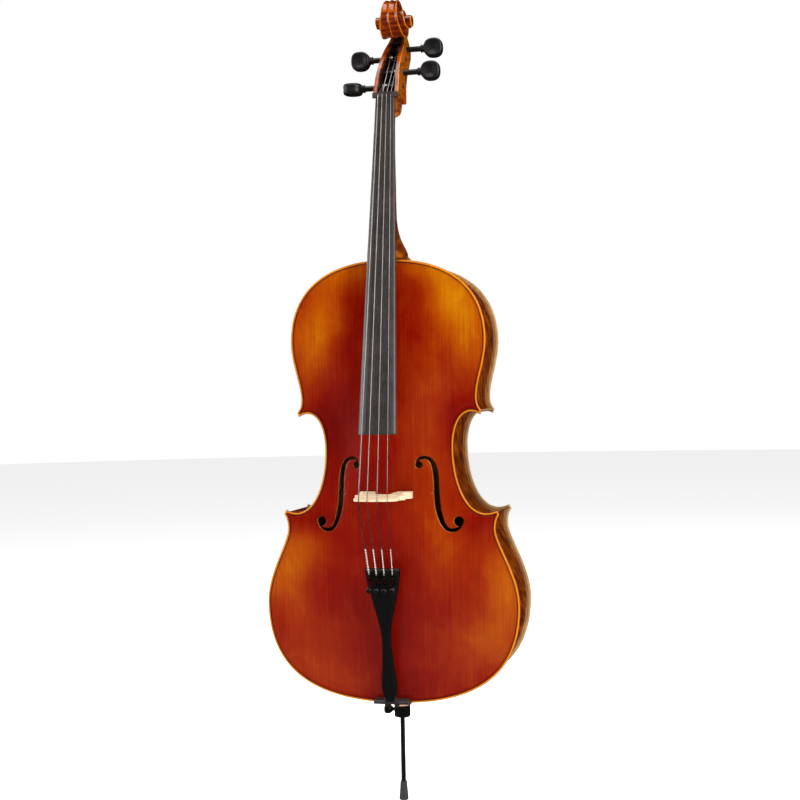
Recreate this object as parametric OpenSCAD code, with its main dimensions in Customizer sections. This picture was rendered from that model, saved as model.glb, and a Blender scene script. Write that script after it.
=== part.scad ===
// A full-size cello with its fittings, strings, pegs, fine tuners and sliding endpin.
// X runs to the treble side, -Y is the front, +Z runs up to the scroll.
// The origin is the centre of the rubber endpin tip's lower face.

/* [Body] */
// Length of the body, bottom edge to top edge
body_len = 755; // [752:1:758]
// Height of the body's bottom edge above the tip of the endpin
tip_drop = 183; // [150:1:240]
// Widest point of the upper bout
upper_w = 342; // [338:1:346]
// Narrowest point of the waist
waist_w = 225; // [222:1:228]
// Widest point of the lower bout
lower_w = 442; // [438:1:446]
// Height of the ribs, front to back
rib_h = 120; // [116:1:124]
// Thickness of the ribs
rib_t = 1.6; // [1.4:0.1:2]
// How far the plates stand out over the ribs
overhang = 4; // [3.5:0.1:4.5]

/* [Plates] */
// Thickness of both plates at their edges
edge_t = 5; // [4.6:0.1:5.4]
// Rise of the arching above the edge
arch_rise = 21; // [18:0.5:24]
// Thickness of both plates at the crown
crown_t = 4.5; // [4:0.1:5]
// Distance of the purfling from the edge
purfling_in = 4.2; // [4:0.1:5]
// Width of the purfling strip
purfling_w = 1.3; // [1:0.1:1.6]

/* [Neck and strings] */
// Height of the nut's lower edge above the body's bottom edge
nut_z = 1035; // [1032:1:1038]
// Width of the fingerboard at the nut
nut_w = 33; // [32:0.5:34]
// Width of the fingerboard at its lower end
board_end_w = 65; // [62:0.5:67]
// Length of the fingerboard along the strings
board_len = 583; // [575:1:590]
// Height of the bridge above the top's crown
bridge_h = 90; // [86:0.5:92]
// Height of the bridge's middle above the body's bottom edge
bridge_z = 353; // [350:1:356]
// Diameters of the C, G, D and A strings
string_d = [1.8, 1.45, 1.2, 1.0];

/* [Fittings] */
// Length of the tailpiece
tail_len = 232; // [228:1:236]
// Diameter of the endpin rod
rod_d = 8; // [7.8:0.1:8.2]
// Length of the endpin rod
rod_len = 436; // [420:1:450]
// Diameter of a peg's shaft
peg_d = 9.4; // [9:0.1:10]
// Radial clearance of every turning or sliding shaft
run_fit = 0.05; // [0.02:0.01:0.1]

/* [Hidden] */
$fn = 48;

spruce = "#b4511b";
maple = "#8f3d17";
pale_maple = "#e8d9b8";
ebony = "#2b2a2c";
black = "#1c1b1c";
steel = "#b9bcc0";

function bezier(p, t) =
    let(a = (1 - t) * (1 - t) * (1 - t), b = 3 * t * (1 - t) * (1 - t),
        c = 3 * t * t * (1 - t), d = t * t * t)
    p[0] * a + p[1] * b + p[2] * c + p[3] * d;
function bezier_slope(p, t) =
    3 * ((p[1] - p[0]) * (1 - t) * (1 - t) + (p[2] - p[1]) * 2 * t * (1 - t) + (p[3] - p[2]) * t * t);
function unit(v) = v / norm(v);
function mix(a, b, t) = a + (b - a) * t;
function flipped(points) = [for (i = [len(points) - 1:-1:0]) points[i]];
function mirrored(points) = [for (p = points) [-p[0], p[1]]];

// ---- Outline of the body, treble half, as curves in X and Z from the bottom edge ----
upper_tip = [162, 496.5];
upper_heel = [158.8, 489];
lower_heel = [185, 328.7];
lower_tip = [189, 321.6];
upper_wide = [upper_w / 2, 617];
waist = [waist_w / 2, 432];
lower_wide = [lower_w / 2, 169];
UPPER = [
    [[0, body_len], [108, body_len], [upper_wide[0], 707], upper_wide],
    [upper_wide, [upper_wide[0], 580], [154.2, 546], [154.2, 518]],
    [[154.2, 518], [154.2, 508], [157.5, 501], upper_tip]
];
MIDDLE = [
    [upper_heel, [134.7, 505.4], [waist[0], 482.4], waist],
    [waist, [waist[0], 367.4], [140, 306.1], lower_heel]
];
LOWER = [
    [lower_tip, [185, 316], [182.2, 308], [182.2, 297]],
    [[182.2, 297], [182.2, 272], [lower_wide[0], 220], lower_wide],
    [lower_wide, [lower_wide[0], 59], [152.3, 0], [0, 0]]
];
curve_steps = 12;
// Points of a chain of curves, moved inward by d
function inset(chain, d) = [
    for (k = [0:len(chain) - 1])
        for (i = [(k == 0 ? 0 : 1):curve_steps])
            let(t = i / curve_steps, s = unit(bezier_slope(chain[k], t)))
                bezier(chain[k], t) + [s[1], -s[0]] * d
];
// The same, run on straight past its end by a length
function run_on(points, length, at_end) =
    let(n = len(points))
    at_end
        ? concat(points, [points[n - 1] + unit(points[n - 1] - points[n - 2]) * length])
        : concat([points[0] - unit(points[1] - points[0]) * length], points);
corner_reach = 16;

// Half outline ignoring the waist, and the waist's cut-out
module bouts(d) {
    polygon(concat(
        run_on(inset(UPPER, d), corner_reach, true),
        run_on(inset(LOWER, d), corner_reach, false)
    ));
}
module waist_cut(d) {
    cut = run_on(run_on(inset(MIDDLE, d), corner_reach, false), corner_reach, true);
    polygon(concat(cut, [[lower_w, cut[len(cut) - 1][1]], [lower_w, cut[0][1]]]));
}
// Takes the corner's point off along the line between its two ends
module blunt(a, b, d) {
    along = unit(b - a);
    out = [-along[1], along[0]];
    translate(a - out * d - along * 30)
        rotate(atan2(along[1], along[0]))
            square([68, 30]);
}
module half_outline(d) {
    difference() {
        bouts(d);
        waist_cut(d);
        blunt(upper_tip, upper_heel, d);
        blunt(lower_heel, lower_tip, d);
    }
}
module outline(d) {
    half_outline(d);
    mirror([1, 0]) half_outline(d);
}
module ring(d0, d1) {
    difference() {
        outline(d0);
        outline(d1);
    }
}
// Stands a drawing in X and Z up between two depths, and lifts it to the body
module panel(y0, y1) {
    translate([0, y1, tip_drop])
        rotate([90, 0, 0])
            linear_extrude(y1 - y0)
                children();
}
module on_body() {
    translate([0, 0, tip_drop]) children();
}

// ---- Arching ----
channel = 10;
ARCH_EDGE = [
    [[0, body_len - channel], [104, body_len - channel], [upper_wide[0] - channel, 700],
     [upper_wide[0] - channel, 617]],
    [[upper_wide[0] - channel, 617], [upper_wide[0] - channel, 560], [waist[0] - 9, 500],
     [waist[0] - 9, 432]],
    [[waist[0] - 9, 432], [waist[0] - 9, 350], [lower_wide[0] - channel, 262],
     [lower_wide[0] - channel, 169]],
    [[lower_wide[0] - channel, 169], [lower_wide[0] - channel, 65], [146, channel], [0, channel]]
];
arch_steps = 24;
arch_table = [
    for (k = [3:-1:0])
        for (i = [arch_steps:-1:(k == 0 ? 0 : 1)])
            let(p = bezier(ARCH_EDGE[k], i / arch_steps)) [p[1], p[0]]
];
arch_mid = body_len / 2;
arch_half = body_len / 2 - channel;
function across(u) = u >= 1 ? 0 : (1 + cos(180 * pow(u, 1.15))) / 2;
function along(z) =
    let(s = abs(z - arch_mid) / arch_half)
    s >= 1 ? 0 : pow(1 - pow(s, 4), 1.5);
function arch(x, z) = across(abs(x) / max(lookup(z, arch_table), 1)) * along(z);
// Depth of the top's outer and inner faces; the back is their mirror image
function face_out(x, z) = -(rib_h / 2 + edge_t + arch_rise * arch(x, z));
function face_in(x, z) = -(rib_h / 2 + (arch_rise + edge_t - crown_t) * arch(x, z));

grid_x = 26;
grid_z = 44;
module arched_shell() {
    wide = lower_w / 2 + 6;
    low = -4;
    high = body_len + 24;
    nodes = [for (j = [0:grid_z]) for (i = [0:grid_x])
        [wide * (2 * i / grid_x - 1), low + (high - low) * j / grid_z]];
    count = len(nodes);
    row = grid_x + 1;
    points = concat(
        [for (n = nodes) [n[0], face_out(n[0], n[1]), n[1]]],
        [for (n = nodes) [n[0], face_in(n[0], n[1]), n[1]]]
    );
    cells = [for (j = [0:grid_z - 1]) for (i = [0:grid_x - 1]) j * row + i];
    rim = concat(
        [for (i = [0:grid_x - 1]) i],
        [for (j = [0:grid_z - 1]) j * row + grid_x],
        [for (i = [grid_x:-1:1]) grid_z * row + i],
        [for (j = [grid_z:-1:1]) j * row]
    );
    polyhedron(points, concat(
        [for (c = cells) [c, c + row, c + 1]],
        [for (c = cells) [c + 1, c + row, c + row + 1]],
        [for (c = cells) [count + c, count + c + 1, count + c + row]],
        [for (c = cells) [count + c + 1, count + c + row + 1, count + c + row]],
        [for (k = [0:len(rim) - 1])
            let(a = rim[k], b = rim[(k + 1) % len(rim)]) [a, b, count + b]],
        [for (k = [0:len(rim) - 1])
            let(a = rim[k], b = rim[(k + 1) % len(rim)]) [a, count + b, count + a]]
    ));
}

// ---- Sound holes, treble side ----
upper_eye = [54.6, 406];
lower_eye = [120, 310];
F_PATH = [
    [[50.6, 409], [52, 415.8], [58, 418.6], [64.4, 418]],
    [[64.4, 418], [76, 417], [80.4, 404], [82, 389]],
    [[82, 389], [84, 370], [83, 349], [85.6, 335]],
    [[85.6, 335], [88.6, 319], [94, 295.4], [108.4, 295.2]],
    [[108.4, 295.2], [117, 295], [124, 300], [125.6, 308]]
];
f_widths = [1.6, 3.0, 4.9, 5.1, 3.2, 1.7];
f_steps = 7;
module f_hole() {
    mid = [for (k = [0:4]) for (i = [(k == 0 ? 0 : 1):f_steps])
        let(t = i / f_steps, s = unit(bezier_slope(F_PATH[k], t)))
            [bezier(F_PATH[k], t), [s[1], -s[0]] * mix(f_widths[k], f_widths[k + 1], t)]];
    polygon(concat([for (m = mid) m[0] + m[1]], flipped([for (m = mid) m[0] - m[1]])));
    translate(upper_eye) circle(6.2, $fn = 20);
    translate(lower_eye) circle(8.5, $fn = 24);
    translate([83.3, 359]) polygon([[-8, 0], [0, 2.6], [8, 0], [0, -2.6]]);
}
module tenon_cut() {
    translate([0, -100, body_len - tenon_in + 50])
        cube([2 * tenon_w, 320, 100], center = true);
}
module saddle_drawing() {
    polygon([[-saddle_w, 0], [saddle_w, 0], [saddle_w - 4, saddle_h], [-saddle_w + 4, saddle_h]]);
}

// ---- Plates ----
tenon_w = 20;
tenon_in = 12;
saddle_w = 32;
saddle_h = 9;
button_w = 19;
button_z = 774;
front = rib_h / 2 + edge_t;
purfling_t = 2;
module top_plate() {
    color(spruce)
        resize([0, 0, 0])
            difference() {
                intersection() {
                    on_body() arched_shell();
                    panel(-120, 0) outline(0);
                }
                panel(-150, 0) f_hole();
                panel(-150, 0) mirror([1, 0]) f_hole();
                panel(-front - 1, -front + purfling_t) ring(purfling_in, purfling_in + purfling_w);
                on_body() tenon_cut();
                panel(-150, 0) saddle_drawing();
            }
}
module back_plate() {
    color(maple)
        resize([0, 0, 0])
            difference() {
                intersection() {
                    on_body() mirror([0, 1, 0]) arched_shell();
                    panel(0, 120)
                        union() {
                            outline(0);
                            translate([0, button_z - button_w]) circle(button_w, $fn = 40);
                        }
                }
                panel(front - purfling_t, front + 1) ring(purfling_in, purfling_in + purfling_w);
            }
}
module top_purfling() {
    color(ebony)
        difference() {
            panel(-front, -front + purfling_t) ring(purfling_in, purfling_in + purfling_w);
            on_body() tenon_cut();
            panel(-150, 0) saddle_drawing();
        }
}
module back_purfling() {
    color(ebony)
        panel(front - purfling_t, front) ring(purfling_in, purfling_in + purfling_w);
}

// ---- Ribs, linings and blocks ----
upper_mitre = [(upper_tip + upper_heel) / 2, [0.77, -0.64]];
lower_mitre = [(lower_tip + lower_heel) / 2, [0.76, 0.65]];
far = 300;
module upper_zone() {
    m = upper_mitre;
    polygon([[0, m[0][1] + 26], m[0] - m[1] * 40, m[0] + m[1] * 40, [far, far + 200],
             [far, 900], [0, 900]]);
}
module middle_zone() {
    m = upper_mitre;
    n = lower_mitre;
    polygon([[0, m[0][1] + 26], m[0] - m[1] * 40, m[0] + m[1] * 40, n[0] + n[1] * 40,
             n[0] - n[1] * 40, [0, n[0][1] - 26]]);
}
module lower_zone() {
    n = lower_mitre;
    polygon([[0, n[0][1] - 26], n[0] - n[1] * 40, n[0] + n[1] * 40, [far, far], [far, -100],
             [0, -100]]);
}
rib_in = overhang + rib_t;
module rib(side) {
    color(maple)
        difference() {
            panel(-rib_h / 2, rib_h / 2)
                scale_side(side)
                    intersection() {
                        ring(overhang, rib_in);
                        children();
                    }
            on_body() tenon_cut();
            on_body() plug_shape(0);
        }
}
module scale_side(side) {
    mirror([side > 0 ? 0 : 1, 0]) children();
}
lining_w = 2.2;
lining_h = 13;
module linings(y0, y1) {
    color(pale_maple)
        panel(y0, y1)
            difference() {
                ring(rib_in, rib_in + lining_w);
                block_zones();
            }
}
upper_block_size = [96, 26];
lower_block_size = [76, 28];
corner_zone_r = 34;
upper_zone_at = [146, 493];
lower_zone_at = [170, 322];
module end_zones() {
    translate([-upper_block_size[0] / 2, body_len - rib_in - upper_block_size[1]])
        square([upper_block_size[0], 60]);
    translate([-lower_block_size[0] / 2, rib_in + lower_block_size[1] - 60])
        square([lower_block_size[0], 60]);
}
module corner_zones() {
    for (side = [0, 1])
        mirror([side, 0]) {
            translate(upper_zone_at) circle(corner_zone_r);
            translate(lower_zone_at) circle(corner_zone_r);
        }
}
module block_zones() {
    end_zones();
    corner_zones();
}
module upper_block() {
    color(pale_maple)
        difference() {
            panel(-rib_h / 2, rib_h / 2)
                intersection() {
                    outline(rib_in);
                    translate([0, body_len]) square([upper_block_size[0], 2 * (rib_in + upper_block_size[1])],
                                                    center = true);
                }
            on_body() tenon_cut();
        }
}
module lower_block() {
    color(pale_maple)
        difference() {
            panel(-rib_h / 2, rib_h / 2)
                intersection() {
                    outline(rib_in);
                    square([lower_block_size[0], 2 * (rib_in + lower_block_size[1])], center = true);
                }
            on_body() plug_shape(0);
        }
}
module corner_blocks() {
    color(pale_maple)
        panel(-rib_h / 2, rib_h / 2)
            intersection() {
                outline(rib_in);
                corner_zones();
            }
}

// ---- Bass bar and sound post ----
bar_x = -21;
bar_w = 11;
bar_z = [88, 640];
bar_steps = 16;
bar_glue = 0.3;
module bass_bar() {
    rings = [for (i = [0:bar_steps])
        let(t = i / bar_steps, z = mix(bar_z[0], bar_z[1], t),
            depth = 5 + 19 * pow(sin(180 * t), 0.8),
            y = max(face_in(bar_x - bar_w / 2, z), face_in(bar_x + bar_w / 2, z)) + depth)
            [[bar_x - bar_w / 2, face_in(bar_x - bar_w / 2, z) + bar_glue, z],
             [bar_x + bar_w / 2, face_in(bar_x + bar_w / 2, z) + bar_glue, z],
             [bar_x + bar_w / 2, y, z],
             [bar_x - bar_w / 2, y, z]]];
    color(pale_maple) on_body() tube(rings);
}
// Closed skin over a row of rings with equal numbers of points
module tube(rings) {
    n = len(rings[0]);
    last = (len(rings) - 1) * n;
    polyhedron([for (r = rings) for (p = r) p], concat(
        [[for (i = [0:n - 1]) i]],
        [for (k = [0:len(rings) - 2]) for (i = [0:n - 1])
            [k * n + i, (k + 1) * n + i, k * n + (i + 1) % n]],
        [for (k = [0:len(rings) - 2]) for (i = [0:n - 1])
            [k * n + (i + 1) % n, (k + 1) * n + i, (k + 1) * n + (i + 1) % n]],
        [[for (i = [n - 1:-1:0]) last + i]]
    ));
}
post_at = [24, bridge_z - 20];
post_d = 11;
module sound_post() {
    half = -face_in(post_at[0] + post_d / 2, post_at[1]);
    color(pale_maple)
        on_body()
            translate([post_at[0], 0, post_at[1]])
                rotate([90, 0, 0])
                    cylinder(h = 2 * half - 0.2, d = post_d, center = true);
}

// ---- Neck ----
board_slope = 0.17;
glue_at_nut = -38;
function glue_y(z) = glue_at_nut - board_slope * (nut_z - z);
board_z = nut_z - board_len / sqrt(1 + board_slope * board_slope);
function board_w(z) = mix(nut_w, board_end_w, (nut_z - z) / (nut_z - board_z));
nut_t = 8.5;
head_z = nut_z + nut_t;
neck_z = [757, 764, 770, 775, 780, 786, 793, 801, 811, 824, 842, 870, 920, 970, 1000, 1004,
          1008, 1014, 1021, 1029, nut_z, head_z];
// Depth of the neck behind the fingerboard: heel, handle, then the chin under the pegbox
heel_back = rib_h / 2;
neck_back = [[757, heel_back], [770, heel_back], [775, 56], [780, 42], [786, 22], [793, 0], [801, -18],
             [811, -34], [824, -48], [842, -54], [870, -52.5], [1000, -23.5], [1004, -15],
             [1008, -4], [1014, 5], [1021, 12], [1029, 16], [head_z, 18]];
// 0 is a round handle and 1 is the squarer heel
neck_square = [[757, 1], [780, 0.9], [811, 0.35], [842, 0], [1000, 0], [1008, 0.5], [1021, 0.75],
               [head_z, 0.8]];
neck_half_w = [[757, 26], [801, 24.5], [870, 22], [1000, 17.2], [1022, 17.6], [head_z, 18]];
// The chin is wider behind than where it meets the fingerboard
chin_swell = [[1000, 0], [1006, 4], [1014, 7]];
// How much the squarer sections narrow towards the back
neck_taper = [[757, 0.33], [842, 0.33], [1000, 0.2], [1014, 0.1]];
// The joint under the pegbox slopes down to the back, and the chin's sections lean with it
chin_z = 1000;
chin_slope = 0.17;
neck_ring = 14;
module neck() {
    color(maple)
        on_body() {
            tube([for (z = neck_z) neck_section(z)]);
            translate([-tenon_w, glue_y(750) + 1, body_len - tenon_in])
                cube([2 * tenon_w, heel_back - glue_y(750) - 1, tenon_in + 4]);
        }
}
function neck_section(z) =
    let(front_y = glue_y(min(z, nut_z)), depth = lookup(z, neck_back) - front_y,
        w = lookup(z, neck_half_w), k = lookup(z, neck_square), taper = lookup(z, neck_taper),
        swell = lookup(z, chin_swell),
        lean = chin_slope * max(0, z - chin_z) / (head_z - chin_z))
    [for (i = [0:neck_ring])
        let(a = 180 * i / neck_ring, c = cos(a), s = sin(a),
            wide = mix(c, sign(c) * pow(abs(c), 0.35) * (1 - taper * s), k),
            back = depth * mix(s, pow(s, 0.6), k))
            [(w + swell * s) * wide, front_y + back, z - lean * back]];

// ---- Head: pegbox and scroll ----
function box_bottom(y) = head_z - chin_slope * (y - glue_at_nut);
box_front = [[-40, box_bottom(-40)], [-35, 1054], [-23, 1080], [-5, 1104], [18, 1127],
             [40, 1144], [50, 1151]];
box_back = [[82, 1183], [82, 1165], [80, 1150], [71, 1126], [51, 1104], [31, 1080], [23, 1060],
            [21, head_z], [21, box_bottom(21)]];
cave_front = [[-60, 1040], [-40, 1080], [-20, 1108], [0, 1134], [40, 1149]];
cave_back = [[62, 1142], [54, 1130], [35, 1108], [14, 1084], [4, 1064], [2, 1048],
             [-30, 1044]];
head_half_w = [[chin_z, 22.5], [head_z, 22.5], [1060, 21.9], [1086, 20.4], [1112, 18.6], [1135, 17.2],
               [1151, 16], [1168, 14], [1184, 12]];
cheek_t = 7.5;
module side_drawing(points, x0, x1) {
    translate([x0, 0, 0])
        rotate([90, 0, 90])
            linear_extrude(x1 - x0)
                polygon(points);
}
module width_drawing(inside) {
    half = [for (p = head_half_w) [p[1] - inside, p[0]]];
    translate([0, 150, 0])
        rotate([90, 0, 0])
            linear_extrude(300)
                polygon(concat(half, flipped(mirrored(half))));
}
module pegbox() {
    difference() {
        intersection() {
            side_drawing(concat(box_front, [[60, 1168], [66, 1183]], box_back), -30, 30);
            width_drawing(0);
        }
        intersection() {
            side_drawing(concat(cave_front, cave_back), -30, 30);
            width_drawing(cheek_t);
        }
        for (p = PEGS)
            translate([0, p[1], p[2]])
                rotate([0, 90, 0])
                    cylinder(h = 80, r = peg_d / 2 + run_fit, center = true);
    }
}
scroll_at = [36, 1183];
turns = 720;
front_bulge = 0.22;
squash = 0.945;
function scroll_r(a) =
    (10.5 + 34.5 * pow(max(1 - a / turns, 0), 1.15)) * (1 + front_bulge * pow(max(-cos(a), 0), 1.5));
// Half width of each terrace of the volute, from the angle where it starts
volute = [[0, 9], [120, 11.5], [160, 14], [200, 16.5], [235, 19], [270, 20.5], [495, 22], [540, 24],
          [585, 26.5], [630, 28.5], [675, 31]];
eye_r = 8.5;
eye_half_w = 34;
module scroll() {
    translate([0, scroll_at[0], scroll_at[1]]) {
        for (v = volute)
            side_drawing([for (a = [v[0]:12:v[0] + 359]) scroll_r(a) * [cos(a), squash * sin(a)]],
                         -v[1], v[1]);
        rotate([0, 90, 0])
            cylinder(h = 2 * eye_half_w, r = eye_r, center = true);
    }
}
module head() {
    color(maple)
        on_body() {
            pegbox();
            scroll();
        }
}

// ---- Fingerboard, nut and saddle ----
board_edge = 6.5;
board_r = 62;
function crown(w) = board_r - sqrt(board_r * board_r - w * w);
board_ring = 10;
function board_section(z, hollow) =
    let(w = board_w(z) / 2, y = glue_y(z), top = y - board_edge - crown(w))
    concat(
        [for (i = [0:board_ring])
            let(x = mix(-w, w, i / board_ring)) [x, top + crown(x), z]],
        [[w, y, z], [w - 3, y, z], [w / 2, y - hollow * 0.8, z], [0, y - hollow, z],
         [-w / 2, y - hollow * 0.8, z], [-w + 3, y, z], [-w, y, z]]
    );
module fingerboard() {
    hollow_z = body_len + 6;
    color(ebony)
        resize([0, 0, 0]) on_body() {
            tube([board_section(board_z, 7), board_section(hollow_z - 20, 7),
                  board_section(hollow_z, 0.4), board_section(nut_z, 0.4)]);
        }
}
NUT_X = [-11.2, -3.8, 3.8, 11.2];
BRIDGE_X = [-25.4, -9.7, 7.1, 23.2];
nut_top = glue_at_nut - board_edge - crown(nut_w / 2) - 0.4;
function nut_y(x) = nut_top + crown(abs(x)) * 0.9;
bridge_r = 62;
bridge_top = face_out(0, bridge_z) - bridge_h;
function bridge_y(x) = bridge_top + bridge_r - sqrt(bridge_r * bridge_r - x * x);
nut_half_w = 22.3;
module nut() {
    w = nut_half_w;
    color(ebony)
        on_body()
            difference() {
                translate([0, 0, nut_z])
                    linear_extrude(nut_t)
                        polygon(concat(
                            [for (i = [0:16])
                                let(x = mix(-w, w, i / 16)) [x, nut_y(x) - 1.2]],
                            [[w, glue_at_nut], [-w, glue_at_nut]]
                        ));
                for (i = [0:3]) string_run(i, 0.06);
            }
}
module saddle() {
    color(ebony)
        on_body()
            intersection() {
                rotate([90, 0, 0])
                    linear_extrude(120) saddle_drawing();
                side_drawing([[-rib_h / 2, 0], [-76, 0], [-80, 2.5], [-81, 5], [-79, 7.6], [-72, saddle_h],
                              [-rib_h / 2, saddle_h]], -saddle_w, saddle_w);
            }
}

// ---- Bridge ----
foot_t = 12;
// The lower face stands square to the top, so the feet reach further up than the tip
foot_lean = 3;
bridge_tip_t = 3;
foot_out = 45;
module bridge() {
    color(pale_maple)
        on_body()
            difference() {
                intersection() {
                    translate([0, 0, bridge_z - 15])
                        linear_extrude(30)
                            bridge_face();
                    side_drawing([
                        [face_in(0, bridge_z), bridge_z + foot_lean - foot_t / 2],
                        [face_in(0, bridge_z), bridge_z + foot_lean + foot_t / 2],
                        [bridge_top - 4, bridge_z + bridge_tip_t / 2],
                        [bridge_top - 4, bridge_z - bridge_tip_t / 2]
                    ], -60, 60);
                }
                for (i = [0:3]) string_run(i, 0.06);
            }
}
function foot_line(x0, x1) = [for (i = [0:6])
    let(x = mix(x0, x1, i / 6)) [x, face_out(x, bridge_z) - 0.05]];
// One half of the bridge from the middle out, heights above the crown of the top
bridge_half = [[7, 30], [11, 31.5], [13.5, 27], [14.5, 16], [16, 9.5], [19, 6.5]];
bridge_flank = [[foot_out, 5.5], [44, 8], [37, 11], [33.5, 19], [32.8, 27], [35.6, 32.5], [40, 36], [43, 41],
                [42, 46.5], [38, 50], [36.2, 56], [37, 65], [36.6, 74]];
module bridge_face() {
    base = face_out(0, bridge_z);
    arm = [for (p = bridge_half) [p[0], base - p[1]]];
    flank = [for (p = bridge_flank) [p[0], base - p[1]]];
    w = bridge_flank[len(bridge_flank) - 1][0];
    head = [for (i = [0:14]) let(x = mix(w, -w, i / 14)) [x, bridge_y(x) - 0.35]];
    difference() {
        polygon(concat(
            arm, foot_line(19, foot_out), flank, head,
            flipped(mirrored(flank)), foot_line(-foot_out, -19), flipped(mirrored(arm))
        ));
        bridge_holes(base);
    }
}
module bridge_holes(base) {
    for (side = [0, 1])
        mirror([side, 0])
            translate([24.5, base - 47]) {
                circle(6, $fn = 28);
                translate([8, 1.5]) circle(3.4, $fn = 24);
                translate([0, -2.2]) square([9, 6]);
            }
    translate([0, base - 58]) {
        for (x = [-4.2, 4.2]) translate([x, -1.5]) circle(5, $fn = 24);
        polygon([[-8.4, 1], [8.4, 1], [2.2, 12], [-2.2, 12]]);
        polygon([[-1.6, 0], [1.6, 0], [1, 18], [-1, 18]]);
    }
}

// ---- Strings ----
// Peg axes: side of the head (-1 bass, 1 treble), depth, height, middle of the winding, and
// how far the collar stands out from the cheek
PEGS = [[-1, -4, 1060, -9, 25.7], [-1, 32, 1117, -5, 23.4], [1, 48, 1136, 5, 29.8], [1, 6, 1086, 9, 29.7]];
winding_r = 6.6;
tuner_x = [-21.5, -8, 5.3, 18.7];
function nut_point(i) = [NUT_X[i], nut_y(NUT_X[i]) - string_d[i] / 2, nut_z + nut_t / 2];
function bridge_point(i) = [BRIDGE_X[i], bridge_y(BRIDGE_X[i]) - string_d[i] / 2, bridge_z];
// Where the string comes off the front of its winding
function peg_point(i) =
    let(n = nut_point(i), p = [PEGS[i][1], PEGS[i][2]], v = p - [n[1], n[2]], d = norm(v),
        r = winding_r + string_d[i] / 2 + 0.45, a = atan2(v[1], v[0]) + 90 - asin(r / d))
    [PEGS[i][3], p[0] + r * cos(a), p[1] + r * sin(a)];
function tail_point(i) = tail_to_body([tuner_x[i], -tail_crown(tuner_x[i]) - 1.6, tuner_hook_z + 1.5]);
module rod_between(a, b, r) {
    v = b - a;
    translate(a)
        rotate([0, acos(v[2] / norm(v)), atan2(v[1], v[0])])
            cylinder(h = norm(v), r = r, $fn = 16);
}
module string_run(i, extra) {
    r = string_d[i] / 2 + extra;
    n = nut_point(i);
    b = bridge_point(i);
    rod_between(n, b, r);
    rod_between(b, tail_point(i), r);
    rod_between(n, peg_point(i), r);
    for (p = [n, b]) translate(p) sphere(r * 1.06, $fn = 16);
}
module string(i) {
    color(steel) on_body() string_run(i, 0);
}
module winding(i) {
    d = string_d[i];
    count = 5;
    color(steel)
        on_body()
            translate([PEGS[i][3] - (count - 1) / 2 * d, PEGS[i][1], PEGS[i][2]])
                rotate([0, 90, 0])
                    for (k = [0:count - 1])
                        translate([0, 0, k * d])
                            rotate_extrude()
                                translate([winding_r - d / 2, 0])
                                    circle(d / 2, $fn = 14);
}

// ---- Pegs ----
peg_head_r = 17;
module peg(i) {
    side = PEGS[i][0];
    peg_out = PEGS[i][4];
    face_w = lookup(PEGS[i][2], head_half_w);
    color(black)
        on_body()
            translate([0, PEGS[i][1], PEGS[i][2]])
                mirror([side > 0 ? 0 : 1, 0, 0])
                    difference() {
                        union() {
                            translate([-face_w - 0.6, 0, 0])
                                rotate([0, 90, 0])
                                    cylinder(h = 2 * face_w + peg_out + 2, d = peg_d);
                            translate([face_w + peg_out, 0, 0]) peg_ring();
                            translate([face_w + peg_out + 4 + peg_head_r * 0.94, 0, 0])
                                peg_head(i == 0);
                        }
                        translate([PEGS[i][3] * side, 0, 0])
                            rotate([0, 90, 0])
                                rotate_extrude()
                                    translate([winding_r - string_d[i] - 0.02, -5])
                                        square([4, 10]);
                    }
}
module peg_ring() {
    rotate([0, 90, 0])
        rotate_extrude()
            polygon([[0, -3], [5, -3], [5.8, -1.5], [6.2, 0], [5.4, 1], [6.8, 2], [7.4, 3.4], [6.6, 5],
                     [0, 5]]);
}
// A round thumb piece with hollowed sides; the C peg's stands edge on
module peg_head(edge_on) {
    rotate([edge_on ? 90 : 0, 0, 0])
        rotate([90, 0, 0])
            rotate_extrude()
                polygon([[0, -6.5], [6, -7], [11, -8.8], [15, -9.4], [16.6, -7], [17, -3], [17, 3],
                         [16.6, 7], [15, 9.4], [11, 8.8], [6, 7], [0, 6.5]]);
}

// ---- Tailpiece, in its own frame: Z down its length from 0 at the top end, -Y outward ----
tail_top = [-121, 237];
tail_tilt = 10.2;
tail_r = 60;
tail_t = 10.5;
tuner_hook_z = -10;
pin_at = [-2, -14];
screw_z = -34;
slot_w = 5;
lever_t = 3.8;
pin_r = 1;
screw_r = 1.75;
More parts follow.
